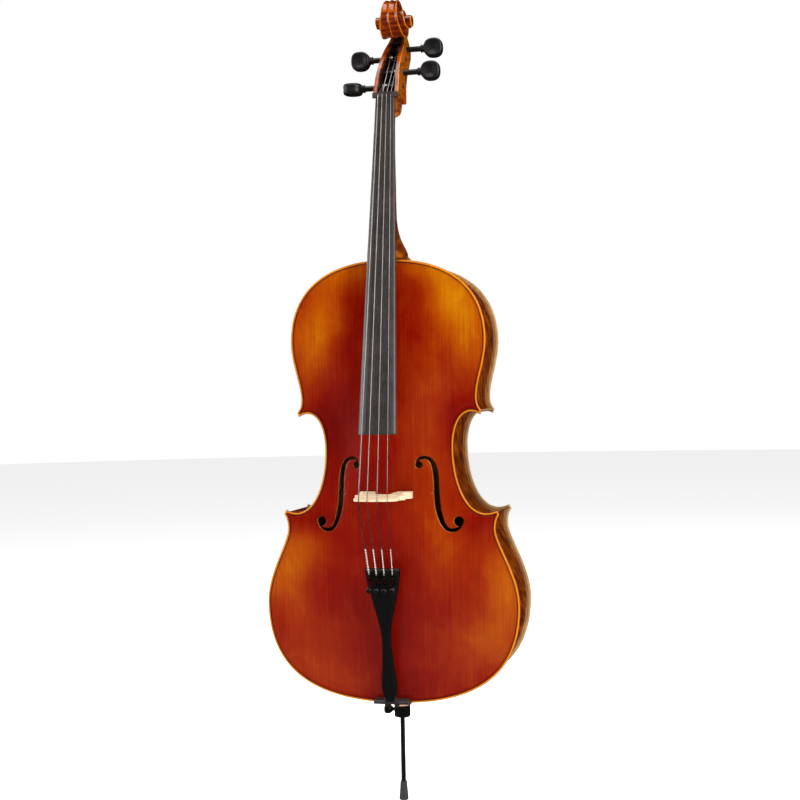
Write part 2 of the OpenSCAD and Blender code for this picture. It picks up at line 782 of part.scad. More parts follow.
// Outward height of the crowned face at a distance from the middle
function tail_crown(x) = tail_t - (tail_r - sqrt(tail_r * tail_r - x * x));
function tail_to_body(p) = [
    p[0],
    tail_top[0] + p[1] * cos(tail_tilt) - p[2] * sin(tail_tilt),
    tail_top[1] + p[1] * sin(tail_tilt) + p[2] * cos(tail_tilt)
];
module on_tail() {
    on_body()
        translate([0, tail_top[0], tail_top[1]])
            rotate([tail_tilt, 0, 0])
                children();
}
TAIL_SIDE = [
    [[30.4, 0], [29.4, -34], [14, -76], [9.4, -104]],
    [[9.4, -104], [7, -122], [8, -140], [10.2, -168]],
    [[10.2, -168], [12.4, -190], [14.4, -198], [13.4, -212]],
    [[13.4, -212], [12.6, -224], [7, -tail_len], [0, -tail_len]]
];
module tailpiece() {
    side = [for (k = [0:3]) for (i = [(k == 0 ? 0 : 1):8]) bezier(TAIL_SIDE[k], i / 8)];
    color(black)
        on_tail()
            difference() {
                intersection() {
                    rotate([90, 0, 0])
                        linear_extrude(20)
                            polygon(concat(side, flipped(mirrored(side))));
                    translate([0, tail_r - tail_t, -tail_len - 5])
                        cylinder(h = tail_len + 10, r = tail_r, $fn = 96);
                }
                for (x = tuner_x) {
                    translate([x - slot_w / 2, -20, -27]) cube([slot_w, 30, 19]);
                    translate([x, 10, screw_z])
                        rotate([90, 0, 0])
                            cylinder(h = 30, r = screw_r + run_fit);
                    translate([x - 1.2, -20, -9]) cube([2.4, 30 - tail_crown(x) - 5, 12]);
                }
                translate([0, pin_at[0], pin_at[1]])
                    rotate([0, 90, 0])
                        cylinder(h = 54, r = pin_r, center = true, $fn = 24);
                for (x = [-8.3, 8.3])
                    translate([x, -5, -tail_len - 2])
                        cylinder(h = 24, r = cord_r + 0.1, $fn = 24);
                translate([-22, -3, -tail_len + 46]) cube([44, 10, 24]);
            }
}
module tuner_pin() {
    color(steel)
        on_tail()
            translate([0, pin_at[0], pin_at[1]])
                rotate([0, 90, 0])
                    cylinder(h = 53, r = pin_r, center = true, $fn = 24);
}
ball_r = 1.8;
ball_z = -15.6;
function ball_y(i) = -tail_crown(tuner_x[i]) - 1.6;
module tuner_lever(i) {
    c = tail_crown(tuner_x[i]);
    color(black)
        on_tail()
            translate([tuner_x[i] - lever_t / 2, 0, 0])
                difference() {
                    rotate([90, 0, 90])
                        linear_extrude(lever_t)
                            difference() {
                                union() {
                                    translate(pin_at) circle(2.6, $fn = 32);
                                    polygon([[-4.4, -13], [0.4, -14.6], [3.6, -22], [3.6, -37], [1.2, -37],
                                             [1.2, -26], [-3.4, -16]]);
                                    polygon([[-4.5, -12.5], [-c - 3, -8.6], [-c - 4.4, -10.4],
                                             [-c - 4, -13.4], [-c, -15], [-3, -16.5]]);
                                }
                                translate(pin_at) circle(pin_r + run_fit, $fn = 24);
                            }
                    translate([lever_t / 2 - 0.85, -c - 6, -20]) cube([1.7, 5.4, 24]);
                    translate([lever_t / 2, ball_y(i), ball_z])
                        rotate([0, 90, 0])
                            cylinder(h = lever_t + 2, r = ball_r + run_fit, center = true, $fn = 24);
                }
}
screw_tip = 0.9;
knob_gap = 6;
module tuner_screw(i) {
    c = tail_crown(tuner_x[i]);
    color(black)
        on_tail()
            translate([tuner_x[i], screw_tip, screw_z])
                rotate([90, 0, 0])
                    cylinder(h = screw_tip + c + knob_gap + 0.2, r = screw_r);
}
module tuner_knob(i) {
    c = tail_crown(tuner_x[i]);
    color(black)
        on_tail()
            translate([tuner_x[i], -c - knob_gap - 0.2, screw_z])
                rotate([90, 0, 0])
                    difference() {
                        rotate_extrude()
                            polygon([[0, 0], [3.2, 0], [4.6, 1.2], [4.6, 5.6], [3.8, 6.6], [1.6, 7], [0, 7]]);
                        for (k = [0:11])
                            rotate(30 * k)
                                translate([5.1, 0, 1.4])
                                    cylinder(h = 4, r = 0.9, $fn = 13);
                    }
}
module ball_end(i) {
    color("#c9a24a")
        on_tail()
            translate([tuner_x[i], ball_y(i), ball_z])
                rotate([0, 90, 0])
                    difference() {
                        cylinder(h = 2 * ball_r, r = ball_r, center = true, $fn = 24);
                        cylinder(h = 5, d = 1.2, center = true, $fn = 16);
                    }
}

// ---- Tail cord: two strands over the saddle and a loop round the endpin plug ----
cord_r = 2;
CORD = [
    [8.3, -85, 26], [8.3, -83.6, 16], [8.3, -83.2, 9], [8.3, -83.2, 4], [8.3, -82, 0], [8.4, -79, -2],
    [8.6, -74, -2.4], [9.2, -62, -2.5], [10.4, -44, -1.6], [11.8, -26, -0.8], [12.9, -12, -0.6]
];
loop_r = 13.2;
module tail_cord() {
    loop = [for (a = [0:15:180]) [loop_r * cos(a), loop_r * sin(a), -0.6]];
    path = concat(CORD, loop, flipped([for (p = CORD) [-p[0], p[1], p[2]]]));
    n = len(path);
    rings = [for (k = [0:n - 1])
        let(dir = unit(path[min(k + 1, n - 1)] - path[max(k - 1, 0)]),
            flat = unit(cross(dir, [dir[1], -dir[0], 4])), up = cross(flat, dir))
            [for (i = [0:7]) path[k] + cord_r * (cos(45 * i) * flat + sin(45 * i) * up)]];
    color(black) on_body() tube(rings);
}

// ---- Endpin ----
plug_r = 12.5;
groove_r = 10.9;
plug_top = 46;
collar_z = [-38, -17];
collar_r = 14;
knob_z = -25;
module plug_shape(extra) {
    rotate_extrude()
        polygon([[0, -17], [13.4 + extra, -17], [13.4 + extra, -14], [groove_r + 1.6, -3.2], [groove_r, -2.9],
                 [groove_r, 1.8], [plug_r + extra, 3], [plug_r + extra, 5], [plug_r - 1.6 + extra, plug_top],
                 [0, plug_top]]);
}
module endpin_plug() {
    color(pale_maple)
        on_body()
            difference() {
                plug_shape(0);
                translate([0, 0, -20]) cylinder(h = 80, r = rod_d / 2 + run_fit);
            }
}
module endpin_collar() {
    color(black)
        on_body()
            difference() {
                rotate_extrude()
                    polygon([[0, collar_z[0]], [10, collar_z[0]], [12.6, collar_z[0] + 0.8],
                             [collar_r, collar_z[0] + 2.4], [collar_r, collar_z[1] - 1],
                             [collar_r - 1, collar_z[1]], [0, collar_z[1]]]);
                translate([0, 0, -50]) cylinder(h = 60, r = rod_d / 2 + run_fit);
                translate([0, 0, knob_z])
                    rotate([0, -90, 0])
                        cylinder(h = 30, r = 3 + run_fit);
            }
}
tip_h = 33;
module endpin_rod() {
    color("#4a4848")
        translate([0, 0, 20])
            cylinder(h = rod_len, d = rod_d);
}
module endpin_tip() {
    color("#333236")
        difference() {
            rotate_extrude()
                polygon([[0, 0], [5.5, 0], [7.2, 0.8], [8, 2.4], [7.6, 8], [6.6, 20], [5.8, tip_h - 1.5],
                         [5.2, tip_h], [0, tip_h]]);
            translate([0, 0, 20]) cylinder(h = 30, d = rod_d);
        }
}
thumb_gap = 0.3;
module thumbscrew_shaft() {
    color("#4a4848")
        on_body()
            translate([-rod_d / 2 - thumb_gap, 0, knob_z])
                rotate([0, -90, 0])
                    cylinder(h = 13, r = 3);
}
module thumbscrew_knob() {
    color(black)
        on_body()
            translate([-rod_d / 2 - thumb_gap - 13, 0, knob_z])
                rotate([0, -90, 0])
                    difference() {
                        rotate_extrude()
                            polygon([[0, 0], [4.2, 0], [7.8, 4.6], [8.1, 6], [8.1, 12.6], [6.8, 14], [0, 14]]);
                        for (k = [0:15])
                            rotate(22.5 * k)
                                translate([8.7, 0, 5.4])
                                    cylinder(h = 7, r = 1.1, $fn = 13);
                    }
}

top_plate();
back_plate();
top_purfling();
back_purfling();
rib(1) upper_zone();  // upper_rib_treble
rib(-1) upper_zone();  // upper_rib_bass
rib(1) middle_zone();  // middle_rib_treble
rib(-1) middle_zone();  // middle_rib_bass
rib(1) lower_zone();  // lower_rib_treble
rib(-1) lower_zone();  // lower_rib_bass
linings(-rib_h / 2, -rib_h / 2 + lining_h);  // top_linings
linings(rib_h / 2 - lining_h, rib_h / 2);  // back_linings
upper_block();
lower_block();
corner_blocks();
bass_bar();
sound_post();
neck();
head();
fingerboard();
nut();
saddle();
bridge();
tailpiece();
tail_cord();
tuner_pin();
endpin_plug();
endpin_collar();
endpin_rod();
endpin_tip();
thumbscrew_shaft();
thumbscrew_knob();
peg(0);  // peg_c
peg(1);  // peg_g
peg(2);  // peg_d
peg(3);  // peg_a
winding(0);  // winding_c
winding(1);  // winding_g
winding(2);  // winding_d
winding(3);  // winding_a
string(0);  // string_c
string(1);  // string_g
string(2);  // string_d
string(3);  // string_a
tuner_lever(0);  // tuner_lever_c
tuner_lever(1);  // tuner_lever_g
tuner_lever(2);  // tuner_lever_d
tuner_lever(3);  // tuner_lever_a
tuner_screw(0);  // tuner_screw_c
tuner_screw(1);  // tuner_screw_g
tuner_screw(2);  // tuner_screw_d
tuner_screw(3);  // tuner_screw_a
tuner_knob(0);  // tuner_knob_c
tuner_knob(1);  // tuner_knob_g
tuner_knob(2);  // tuner_knob_d
tuner_knob(3);  // tuner_knob_a
ball_end(0);  // ball_end_c
ball_end(1);  // ball_end_g
ball_end(2);  // ball_end_d
ball_end(3);  // ball_end_a
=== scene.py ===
# Looks of the cello. Lengths are in millimetres until a mesh is made; body heights are
# above the body's bottom edge, which is DROP above the endpin's tip.
import math
import bpy
import numpy as np
from mathutils import Matrix, Vector
from mathutils.geometry import delaunay_2d_cdt


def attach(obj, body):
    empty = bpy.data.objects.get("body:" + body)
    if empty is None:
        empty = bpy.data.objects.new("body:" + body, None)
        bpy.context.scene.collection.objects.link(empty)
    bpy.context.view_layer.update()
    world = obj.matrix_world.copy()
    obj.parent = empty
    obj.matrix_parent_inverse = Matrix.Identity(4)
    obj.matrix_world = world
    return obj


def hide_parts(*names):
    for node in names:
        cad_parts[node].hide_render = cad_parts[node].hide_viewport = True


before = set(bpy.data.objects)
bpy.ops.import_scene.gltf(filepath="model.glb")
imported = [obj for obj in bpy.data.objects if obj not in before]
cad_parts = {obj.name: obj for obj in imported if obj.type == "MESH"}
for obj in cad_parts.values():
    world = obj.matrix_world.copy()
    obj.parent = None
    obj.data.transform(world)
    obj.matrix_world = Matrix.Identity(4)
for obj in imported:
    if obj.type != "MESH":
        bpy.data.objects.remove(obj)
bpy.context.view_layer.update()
DROP = 183.0
PI = math.pi
# heights above the body's bottom edge
NUT_Z = 1035
HEAD_Z = 1043.5
BRIDGE_Z = 353
BOARD_END = 460.3
# the fingerboard: where it's glued at the nut, how it tilts and how thick its sides are
GLUE_AT_NUT = -38
TILT_BACK = 0.17
BOARD_SIDE = 6.5
# the radius of the curve over the fingerboard, the nut and the bridge
CROWN = 62


# ---- curves and distances
def bezier(p, t):
    t = np.asarray(t, float)[:, None]
    p = np.asarray(p, float)
    return (1 - t) ** 3 * p[0] + 3 * t * (1 - t) ** 2 * p[1] + 3 * t * t * (1 - t) * p[2] + t ** 3 * p[3]


def lengths(points):
    """How far along the polyline each point is."""
    return np.r_[0, np.cumsum(np.linalg.norm(np.diff(points, axis=0), axis=1))]


def evenly(points, step, least=2):
    """The polyline's points again, at about one distance."""
    s = lengths(points)
    u = np.linspace(0, s[-1], max(least, int(round(s[-1] / step))) + 1)
    return np.stack([np.interp(u, s, points[:, k]) for k in range(points.shape[1])], axis=1)


def chain(curves, step):
    parts = [evenly(bezier(c, np.linspace(0, 1, 160)), step, 3) for c in curves]
    return np.vstack([parts[0]] + [p[1:] for p in parts[1:]])


def smooth_table(table, at):
    """Smooth values between the table's rows (monotone cubic)."""
    t = np.asarray(table, float)
    x, y = t[:, 0], t[:, 1]
    h = np.diff(x)
    slope = np.diff(y) / h
    m = np.r_[slope[0], np.zeros(len(x) - 2), slope[-1]]
    for k in range(1, len(x) - 1):
        if slope[k - 1] * slope[k] > 0:
            a, b = 2 * h[k] + h[k - 1], h[k] + 2 * h[k - 1]
            m[k] = (a + b) / (a / slope[k - 1] + b / slope[k])
    at = np.clip(np.asarray(at, float), x[0], x[-1])
    k = np.clip(np.searchsorted(x, at, side="right") - 1, 0, len(h) - 1)
    s = (at - x[k]) / h[k]
    return ((1 + 2 * s) * (1 - s) ** 2 * y[k] + s * (1 - s) ** 2 * h[k] * m[k]
            + s * s * (3 - 2 * s) * y[k + 1] + s * s * (s - 1) * h[k] * m[k + 1])


def read(tables, at):
    """The value of each table at one place."""
    return [smooth_table(t, [at])[0] for t in tables]


def crown_drop(x):
    """How far the curve over the strings' path falls at a distance from the middle."""
    return CROWN - np.sqrt(CROWN * CROWN - x * x)


def units(v):
    return v / np.maximum(np.linalg.norm(v, axis=-1, keepdims=True), 1e-9)


def area(loop):
    q = np.roll(loop, -1, 0)
    return 0.5 * float(np.sum(loop[:, 0] * q[:, 1] - q[:, 0] * loop[:, 1]))


def inset(loop, d):
    """The closed loop moved inward by d, with mitred corners."""
    sign = 1 if area(loop) > 0 else -1
    a = units(loop - np.roll(loop, 1, 0))
    b = units(np.roll(loop, -1, 0) - loop)
    n = np.stack([-a[:, 1], a[:, 0]], 1) * sign
    m = np.stack([-b[:, 1], b[:, 0]], 1) * sign
    both = n + m
    return loop + d * both / np.maximum(1 + np.sum(n * m, axis=1), 0.25)[:, None]


def distance(points, loop):
    """From each point to the closed loop."""
    out = np.empty(len(points))
    a, b = loop, np.roll(loop, -1, 0)
    ab = b - a
    size = np.maximum(np.sum(ab * ab, axis=1), 1e-12)
    for k in range(0, len(points), 1500):
        p = points[k:k + 1500, None, :] - a[None]
        t = np.clip(np.sum(p * ab, axis=2) / size, 0, 1)
        out[k:k + 1500] = np.sqrt(np.min(np.sum((p - t[..., None] * ab) ** 2, axis=2), axis=1))
    return out


def inside(points, loop):
    out = np.zeros(len(points), bool)
    a, b = loop, np.roll(loop, -1, 0)
    rise = np.where(b[:, 1] == a[:, 1], 1e-12, b[:, 1] - a[:, 1])
    for k in range(0, len(points), 1500):
        p = points[k:k + 1500]
        crosses = (a[None, :, 1] > p[:, None, 1]) != (b[None, :, 1] > p[:, None, 1])
        at = a[:, 0] + (p[:, None, 1] - a[:, 1]) / rise * (b[:, 0] - a[:, 0])
        out[k:k + 1500] = np.sum(crosses & (p[:, None, 0] < at), axis=1) % 2 == 1
    return out


def mirrored(loop):
    return loop[::-1] * [-1, 1]


def circle(x, z, r, n=40):
    a = np.linspace(0, 2 * PI, n, endpoint=False)
    return np.c_[x + r * np.cos(a), z + r * np.sin(a)]


def kept_in(loop, holes):
    """A test for points that are inside the loop and outside every hole."""
    def test(points):
        ok = inside(points, loop)
        for hole in holes:
            ok &= ~inside(points, hole)
        return ok
    return test


def lattice(loop, xs, zs, clear, holes, hole_clear):
    """Grid points inside the loop, clear of its edge and of the holes."""
    gx, gz = np.meshgrid(xs, zs)
    grid = np.c_[gx.ravel(), gz.ravel()]
    grid = grid[inside(grid, loop)]
    grid = grid[distance(grid, loop) > clear]
    for hole in holes:
        grid = grid[distance(grid, hole) > hole_clear]
    return grid


def edge_rows(loop, steps, slack, hole=False):
    """Rows of points that follow an edge at some distances, for its rounding."""
    rows = []
    for d in steps:
        row = inset(loop, -d if hole else d)
        if not hole:
            row = row[inside(row, loop)]
        rows.append(row[distance(row, loop) > d - slack])
    return rows


# ---- meshes
def mesh(name, points, faces, mats, body="body", stands_for=(), on_body=True, sharp=35,
         which=None, values=None):
    """A piece from points in millimetres. `which` picks each face's material, `values` are
    numbers kept at its points for the materials."""
    p = np.asarray(points, float).copy()
    if on_body:
        p[:, 2] += DROP
    data = bpy.data.meshes.new(name)
    data.from_pydata((p * 0.001).tolist(), [], [list(map(int, f)) for f in faces])
    for m in (mats if isinstance(mats, (list, tuple)) else [mats]):
        data.materials.append(m)
    if which is not None:
        data.polygons.foreach_set("material_index", np.asarray(which, np.int32))
    for key, column in (values or {}).items():
        column = np.asarray(column, np.float32)
        kind = "FLOAT" if column.ndim == 1 else "FLOAT_VECTOR"
        layer = data.attributes.new(key, kind, "POINT")
        layer.data.foreach_set("value" if column.ndim == 1 else "vector", column.ravel())
    data.polygons.foreach_set("use_smooth", np.ones(len(data.polygons), bool))
    data.update()
    data.set_sharp_from_angle(angle=math.radians(sharp))
    obj = bpy.data.objects.new(name, data)
    bpy.context.scene.collection.objects.link(obj)
    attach(obj, body)
    if stands_for:
        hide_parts(*stands_for)


def skin(rings):
    """Points and faces over a row of closed rings with equal counts, capped at both ends."""
    rings = np.asarray(rings, float)
    rows, n = rings.shape[:2]
    faces = []
    for a in range(0, (rows - 1) * n, n):
        for i in range(n):
            j = (i + 1) % n
            faces.append((a + i, a + j, a + n + j, a + n + i))
    faces.append(tuple(range(n - 1, -1, -1)))
    faces.append(tuple((rows - 1) * n + i for i in range(n)))
    return rings.reshape(-1, rings.shape[2]), faces


def joined(*parts):
    points, faces, base = [], [], 0
    for p, f in parts:
        points.append(np.asarray(p, float))
        faces += [tuple(i + base for i in g) for g in f]
        base += len(p)
    return np.vstack(points), faces


def lathe(profile, count, start=(0, 0, 0), axis=(0, 0, 1), flute=None):
    """Profile rows are (radius, height along the axis); it is closed at both ends."""
    profile = np.asarray(profile, float)
    axis = units(np.asarray(axis, float))
    side = units(np.cross(axis, [0.3, 0.9, 0.2]))
    other = np.cross(axis, side)
    turn = np.linspace(0, 2 * PI, count, endpoint=False)
    rings = []
    for r, h in profile:
        radius = r + (flute(r, h, turn) if flute else 0 * turn)
        rings.append(np.asarray(start) + axis * h + radius[:, None] *
                     (np.cos(turn)[:, None] * side + np.sin(turn)[:, None] * other))
    return skin(rings)


def rounded(points, r, steps=4):
    """The open profile with each corner rounded."""
    p = np.asarray(points, float)
    out = [p[0]]
    for a, b, c in zip(p[:-2], p[1:-1], p[2:]):
        la, lc = np.linalg.norm(a - b), np.linalg.norm(c - b)
        k = min(r, 0.45 * la, 0.45 * lc)
        s, e = b + (a - b) * k / max(la, 1e-9), b + (c - b) * k / max(lc, 1e-9)
        for t in np.linspace(0, 1, steps):
            out.append((1 - t) ** 2 * s + 2 * t * (1 - t) * b + t * t * e)
    return np.array(out + [p[-1]])


def pipe(path, radius, count):
    """A tube along a path of points."""
    path = np.asarray(path, float)
    radius = np.broadcast_to(radius, (len(path),))
    along = units(np.gradient(path, axis=0))
    side = units(np.cross(along[0], [0.31, 0.2, 0.93]))
    rings = []
    turn = np.linspace(0, 2 * PI, count, endpoint=False)
    for p, d, r in zip(path, along, radius):
        side = units(side - d * (side @ d))
        other = np.cross(d, side)
        rings.append(p + r * (np.cos(turn)[:, None] * side + np.sin(turn)[:, None] * other))
    return skin(rings)


def wavy(points, step):
    """A smooth curve through the points (centripetal Catmull-Rom)."""
    p = np.asarray(points, float)
    p = np.vstack([2 * p[0] - p[1], p, 2 * p[-1] - p[-2]])
    out = [p[1]]
    for a, b, c, d in zip(p[:-3], p[1:-2], p[2:-1], p[3:]):
        n = max(2, int(np.linalg.norm(c - b) / step))
        for t in np.linspace(0, 1, n + 1)[1:]:
            out.append(0.5 * (2 * b + (c - a) * t + (2 * a - 5 * b + 4 * c - d) * t * t
                              + (3 * b - a - 3 * c + d) * t ** 3))
    return np.array(out)


def compact(count, tri):
    """Which of the points the triangles use, and the triangles over only those."""
    used = np.unique(tri)
    again = np.full(count, -1)
    again[used] = np.arange(len(used))
    return used, again[tri]


def cells(loops, keep, extra=(), rings=()):
    """Triangles over a flat region. Loops are closed edges, rings are edges inside it, and
    extra are single points. keep says which triangle centres stay."""
    points, edges, base = [], [], 0
    for loop in list(loops) + list(rings):
        n = len(loop)
        points.append(loop)
        edges += [(base + i, base + (i + 1) % n) for i in range(n)]
        base += n
    points += [e for e in extra if len(e)]
    flat = np.vstack(points)
    got = delaunay_2d_cdt([Vector(p) for p in flat], edges, [], 0, 1e-4)
    at = np.array([tuple(v) for v in got[0]])
    tri = np.array(got[2])
    middle = at[tri].mean(axis=1)
    tri = tri[keep(middle)]
    a, b, c = at[tri[:, 0]], at[tri[:, 1]], at[tri[:, 2]]
    turn = (b[:, 0] - a[:, 0]) * (c[:, 1] - a[:, 1]) - (b[:, 1] - a[:, 1]) * (c[:, 0] - a[:, 0])
    tri[turn < 0] = tri[turn < 0][:, ::-1]
    used, tri = compact(len(at), tri)
    return at[used], tri


def rim(tri):
    """The boundary edges of some triangles, in their own direction."""
    edges = np.vstack([tri[:, [0, 1]], tri[:, [1, 2]], tri[:, [2, 0]]])
    known = set(map(tuple, edges.tolist()))
    return [e for e in edges.tolist() if (e[1], e[0]) not in known]


def both_sides(tri, n):
    """The triangles, the same ones turned over on the next n points, and walls between them."""
    return tri.tolist() + (tri[:, ::-1] + n).tolist() + [(b, a, a + n, b + n) for a, b in rim(tri)]


def slab(flat, tri, outer, inner, front=-1):
    """A closed plate between two depths per point. front is -1 if outer faces -Y."""
    points = np.vstack([np.c_[flat[:, 0], outer, flat[:, 1]], np.c_[flat[:, 0], inner, flat[:, 1]]])
    return points, both_sides(tri if front < 0 else tri[:, ::-1], len(flat))


# ---- shader helpers
def linear(c):
    return tuple((v / 12.92 if v <= 0.04045 else ((v + 0.055) / 1.055) ** 2.4) for v in c)


def rgb(r, g, b):
    return (*linear((r / 255, g / 255, b / 255)), 1.0)


class Look:
    """One material and short ways to add nodes to it."""

    def __init__(self, name, rough=0.5, coat=0.0, coat_rough=0.1, metal=0.0, spec=0.5):
        self.mat = bpy.data.materials.new(name)
        self.mat.use_nodes = True
        self.tree = self.mat.node_tree
        self.shader = self.tree.nodes["Principled BSDF"]
        self.set(self.shader, "Roughness", rough)
        self.set(self.shader, "Coat Weight", coat)
        self.set(self.shader, "Coat Roughness", coat_rough)
        self.set(self.shader, "Metallic", metal)
        self.set(self.shader, "Specular IOR Level", spec)

    def set(self, node, socket, value):
        if isinstance(value, bpy.types.NodeSocket):
            self.tree.links.new(value, node.inputs[socket])
        else:
            node.inputs[socket].default_value = value

    def add(self, kind, **inputs):
        """A new node with some inputs set."""
        node = self.tree.nodes.new("ShaderNode" + kind)
        for socket, value in inputs.items():
            self.set(node, socket, value)
        return node

    def attribute(self, name, vector=False):
        node = self.add("Attribute")
        node.attribute_name = name
        return node.outputs["Vector" if vector else "Fac"]

    def place(self):
        return self.add("TexCoord").outputs["Object"]

    def scaled(self, vector, scale, turn=(0, 0, 0)):
        return self.add("Mapping", Vector=vector, Scale=scale, Rotation=turn).outputs[0]

    def noise(self, vector, detail, rough, twist=0.0):
        return self.add("TexNoise", Vector=vector, Scale=1.0, Detail=detail, Roughness=rough,
                        Distortion=twist).outputs["Fac"]

    def math(self, kind, a, b=0.0, clamp=False):
        node = self.add("Math")
        node.operation = kind
        node.use_clamp = clamp
        self.set(node, 0, a)
        self.set(node, 1, b)
        return node.outputs[0]

    def fit(self, value, a, b, c=0.0, d=1.0, smooth=False):
        """The value's range from a to b, fitted to c to d and held there."""
        node = self.add("MapRange", Value=value)
        for end, number in (("From Min", a), ("From Max", b), ("To Min", c), ("To Max", d)):
            self.set(node, end, number)
        if smooth:
            node.interpolation_type = "SMOOTHSTEP"
        return node.outputs[0]

    def ramp(self, value, *stops):
        node = self.add("ValToRGB", Fac=value)
        items = node.color_ramp.elements
        while len(items) < len(stops):
            items.new(0.5)
        for item, (at, colour) in zip(items, stops):
            item.position = at
            item.color = colour
        return node.outputs["Color"]

    def blend(self, share, a, b, kind="MIX"):
        node = self.add("Mix")
        node.data_type = "RGBA"
        node.blend_type = kind
        self.set(node, "Factor", share)
        self.set(node, 6, a)
        self.set(node, 7, b)
        return node.outputs[2]

    def bump(self, height, depth, strength):
        """The depth is in millimetres."""
        node = self.add("Bump", Height=height, Distance=depth * 0.001, Strength=strength)
        self.set(self.shader, "Normal", node.outputs[0])

    def colour(self, value):
        self.set(self.shader, "Base Color", value)


def spruce_look():
    """Sunburst varnish over straight vertical grain; its gold field also holds painted light and painted
    shadow. `gold` and `edge` come with the mesh.
    """
    k = Look("spruce_varnish", rough=0.24, coat=0.12, coat_rough=0.05, spec=0.16)
    place = k.place()
    grain = k.noise(k.scaled(place, (620, 60, 7)), 4, 0.55)
    lines = k.noise(k.scaled(place, (1500, 40, 4)), 2, 0.5)
    mottle = k.noise(k.scaled(place, (26, 26, 17)), 5, 0.6, 0.4)
    # gold: the varnish's sunburst, with a painted lighter treble side and a painted shadow beside the
    # fingerboard
    gold = k.attribute("gold")
    gold = k.math("ADD", gold, k.fit(mottle, 0.25, 0.75, -0.12, 0.12))
    gold = k.math("ADD", gold, k.fit(grain, 0.3, 0.7, -0.07, 0.07), clamp=True)
    tone = k.ramp(gold, (0.0, rgb(98, 3, 0)), (0.2, rgb(120, 11, 0)), (0.45, rgb(138, 37, 1)),
                  (0.7, rgb(160, 69, 1)), (1.0, rgb(188, 114, 5)))
    tone = k.blend(k.fit(lines, 0.52, 0.72, 0.0, 0.32), tone, rgb(70, 14, 4), "MULTIPLY")
    edge = k.attribute("edge")
    bead = k.math("MULTIPLY", k.fit(edge, 0.3, 1.2, smooth=True), k.fit(edge, 3.6, 2.4, smooth=True))
    tone = k.blend(k.math("MULTIPLY", bead, 0.85), tone, rgb(206, 130, 22))
    k.colour(tone)
    k.bump(k.math("ADD", grain, lines), 0.06, 0.5)
    return k.mat


def maple_look(name, dark, mid, light, stripes, lean, strength, rough, coat, edge=False, wear_and_light=None):
    """Varnished maple with flame. `flow` is (length along the wood, across it, other way)."""
    k = Look(name, rough=rough, coat=coat, coat_rough=0.04, spec=0.1)
    flow = k.attribute("flow", True)
    skew = k.scaled(flow, (1, 1, 1), (0, 0, lean))
    flame = k.noise(k.scaled(skew, (stripes, 0.018, 0.02)), 2.2, 0.55, 0.35)
    fine = k.noise(k.scaled(skew, (stripes * 3.1, 0.03, 0.03)), 2, 0.5, 0.3)
    pores = k.noise(k.scaled(flow, (0.06, 1.6, 1.6)), 3, 0.6)
    mottle = k.noise(k.scaled(flow, (0.02, 0.02, 0.02)), 4, 0.6)
    wave = k.math("ADD", k.fit(flame, 0.38, 0.64), k.fit(fine, 0.35, 0.65, -0.12, 0.12))
    wave = k.math("ADD", k.math("MULTIPLY", k.math("SUBTRACT", wave, 0.5), strength),
                  k.fit(mottle, 0.25, 0.75, 0.3, 0.7), clamp=True)
    tone = k.ramp(wave, (0.0, dark), (0.5, mid), (1.0, light))
    tone = k.blend(k.fit(pores, 0.5, 0.75, 0.0, 0.3), tone, rgb(60, 18, 6), "MULTIPLY")
    if edge:
        away = k.attribute("edge")
        tone = k.blend(k.fit(away, 46.0, 3.0, 0.0, 0.75, True), tone, rgb(120, 36, 14), "MULTIPLY")
        tone = k.blend(k.fit(away, 1.6, 0.2, 0.0, 0.8, True), tone, rgb(84, 22, 4))
        bead = k.math("MULTIPLY", k.fit(away, 1.2, 1.8, smooth=True), k.fit(away, 3.2, 2.4, smooth=True))
        tone = k.blend(k.math("MULTIPLY", bead, 0.5), tone, rgb(176, 84, 18))
    # the golden mix: wear on the head's chamfers and spine, and painted light that makes the pegbox cheeks'
    # sides lighter
    if wear_and_light:
        tone = k.blend(k.math("MULTIPLY", k.attribute("wear_and_light"), 0.85), tone, wear_and_light)
    k.colour(tone)
    k.bump(k.math("ADD", pores, flame), 0.05, 0.4)
    return k.mat


def plain_wood(name, a, b, scale=(300, 300, 12), rough=0.6, coat=0.0, depth=0.05):
    k = Look(name, rough=rough, coat=coat, spec=0.35)
    place = k.place()
    grain = k.noise(k.scaled(place, scale), 4, 0.6)
    cloud = k.noise(k.scaled(place, (30, 30, 30)), 3, 0.5)
    k.colour(k.ramp(k.math("ADD", k.fit(grain, 0.3, 0.7, 0.0, 0.7), k.fit(cloud, 0.3, 0.7, -0.1, 0.3),
                           clamp=True), (0.0, a), (1.0, b)))
    k.bump(grain, depth, 0.5)
    return k.mat


def black_look(name, tone, other, rough, scale=(900, 900, 900), depth=0.02, spec=0.4):
    k = Look(name, rough=rough, spec=spec)
    speck = k.noise(k.scaled(k.place(), scale), 3, 0.6)
    k.colour(k.blend(k.fit(speck, 0.3, 0.7), tone, other))
    k.set(k.shader, "Roughness", k.fit(speck, 0.3, 0.7, rough - 0.06, rough + 0.08))
    k.bump(speck, depth, 0.4)
    return k.mat


def metal_look(name, tone, rough):
    k = Look(name, rough=rough, metal=1.0)
    scratch = k.noise(k.scaled(k.place(), (200, 200, 2500)), 2, 0.5)
    k.colour(k.blend(k.fit(scratch, 0.3, 0.7, 0.0, 0.25), tone, rgb(40, 40, 42)))
    k.set(k.shader, "Roughness", k.fit(scratch, 0.3, 0.7, rough * 0.8, rough * 1.3))
    return k.mat


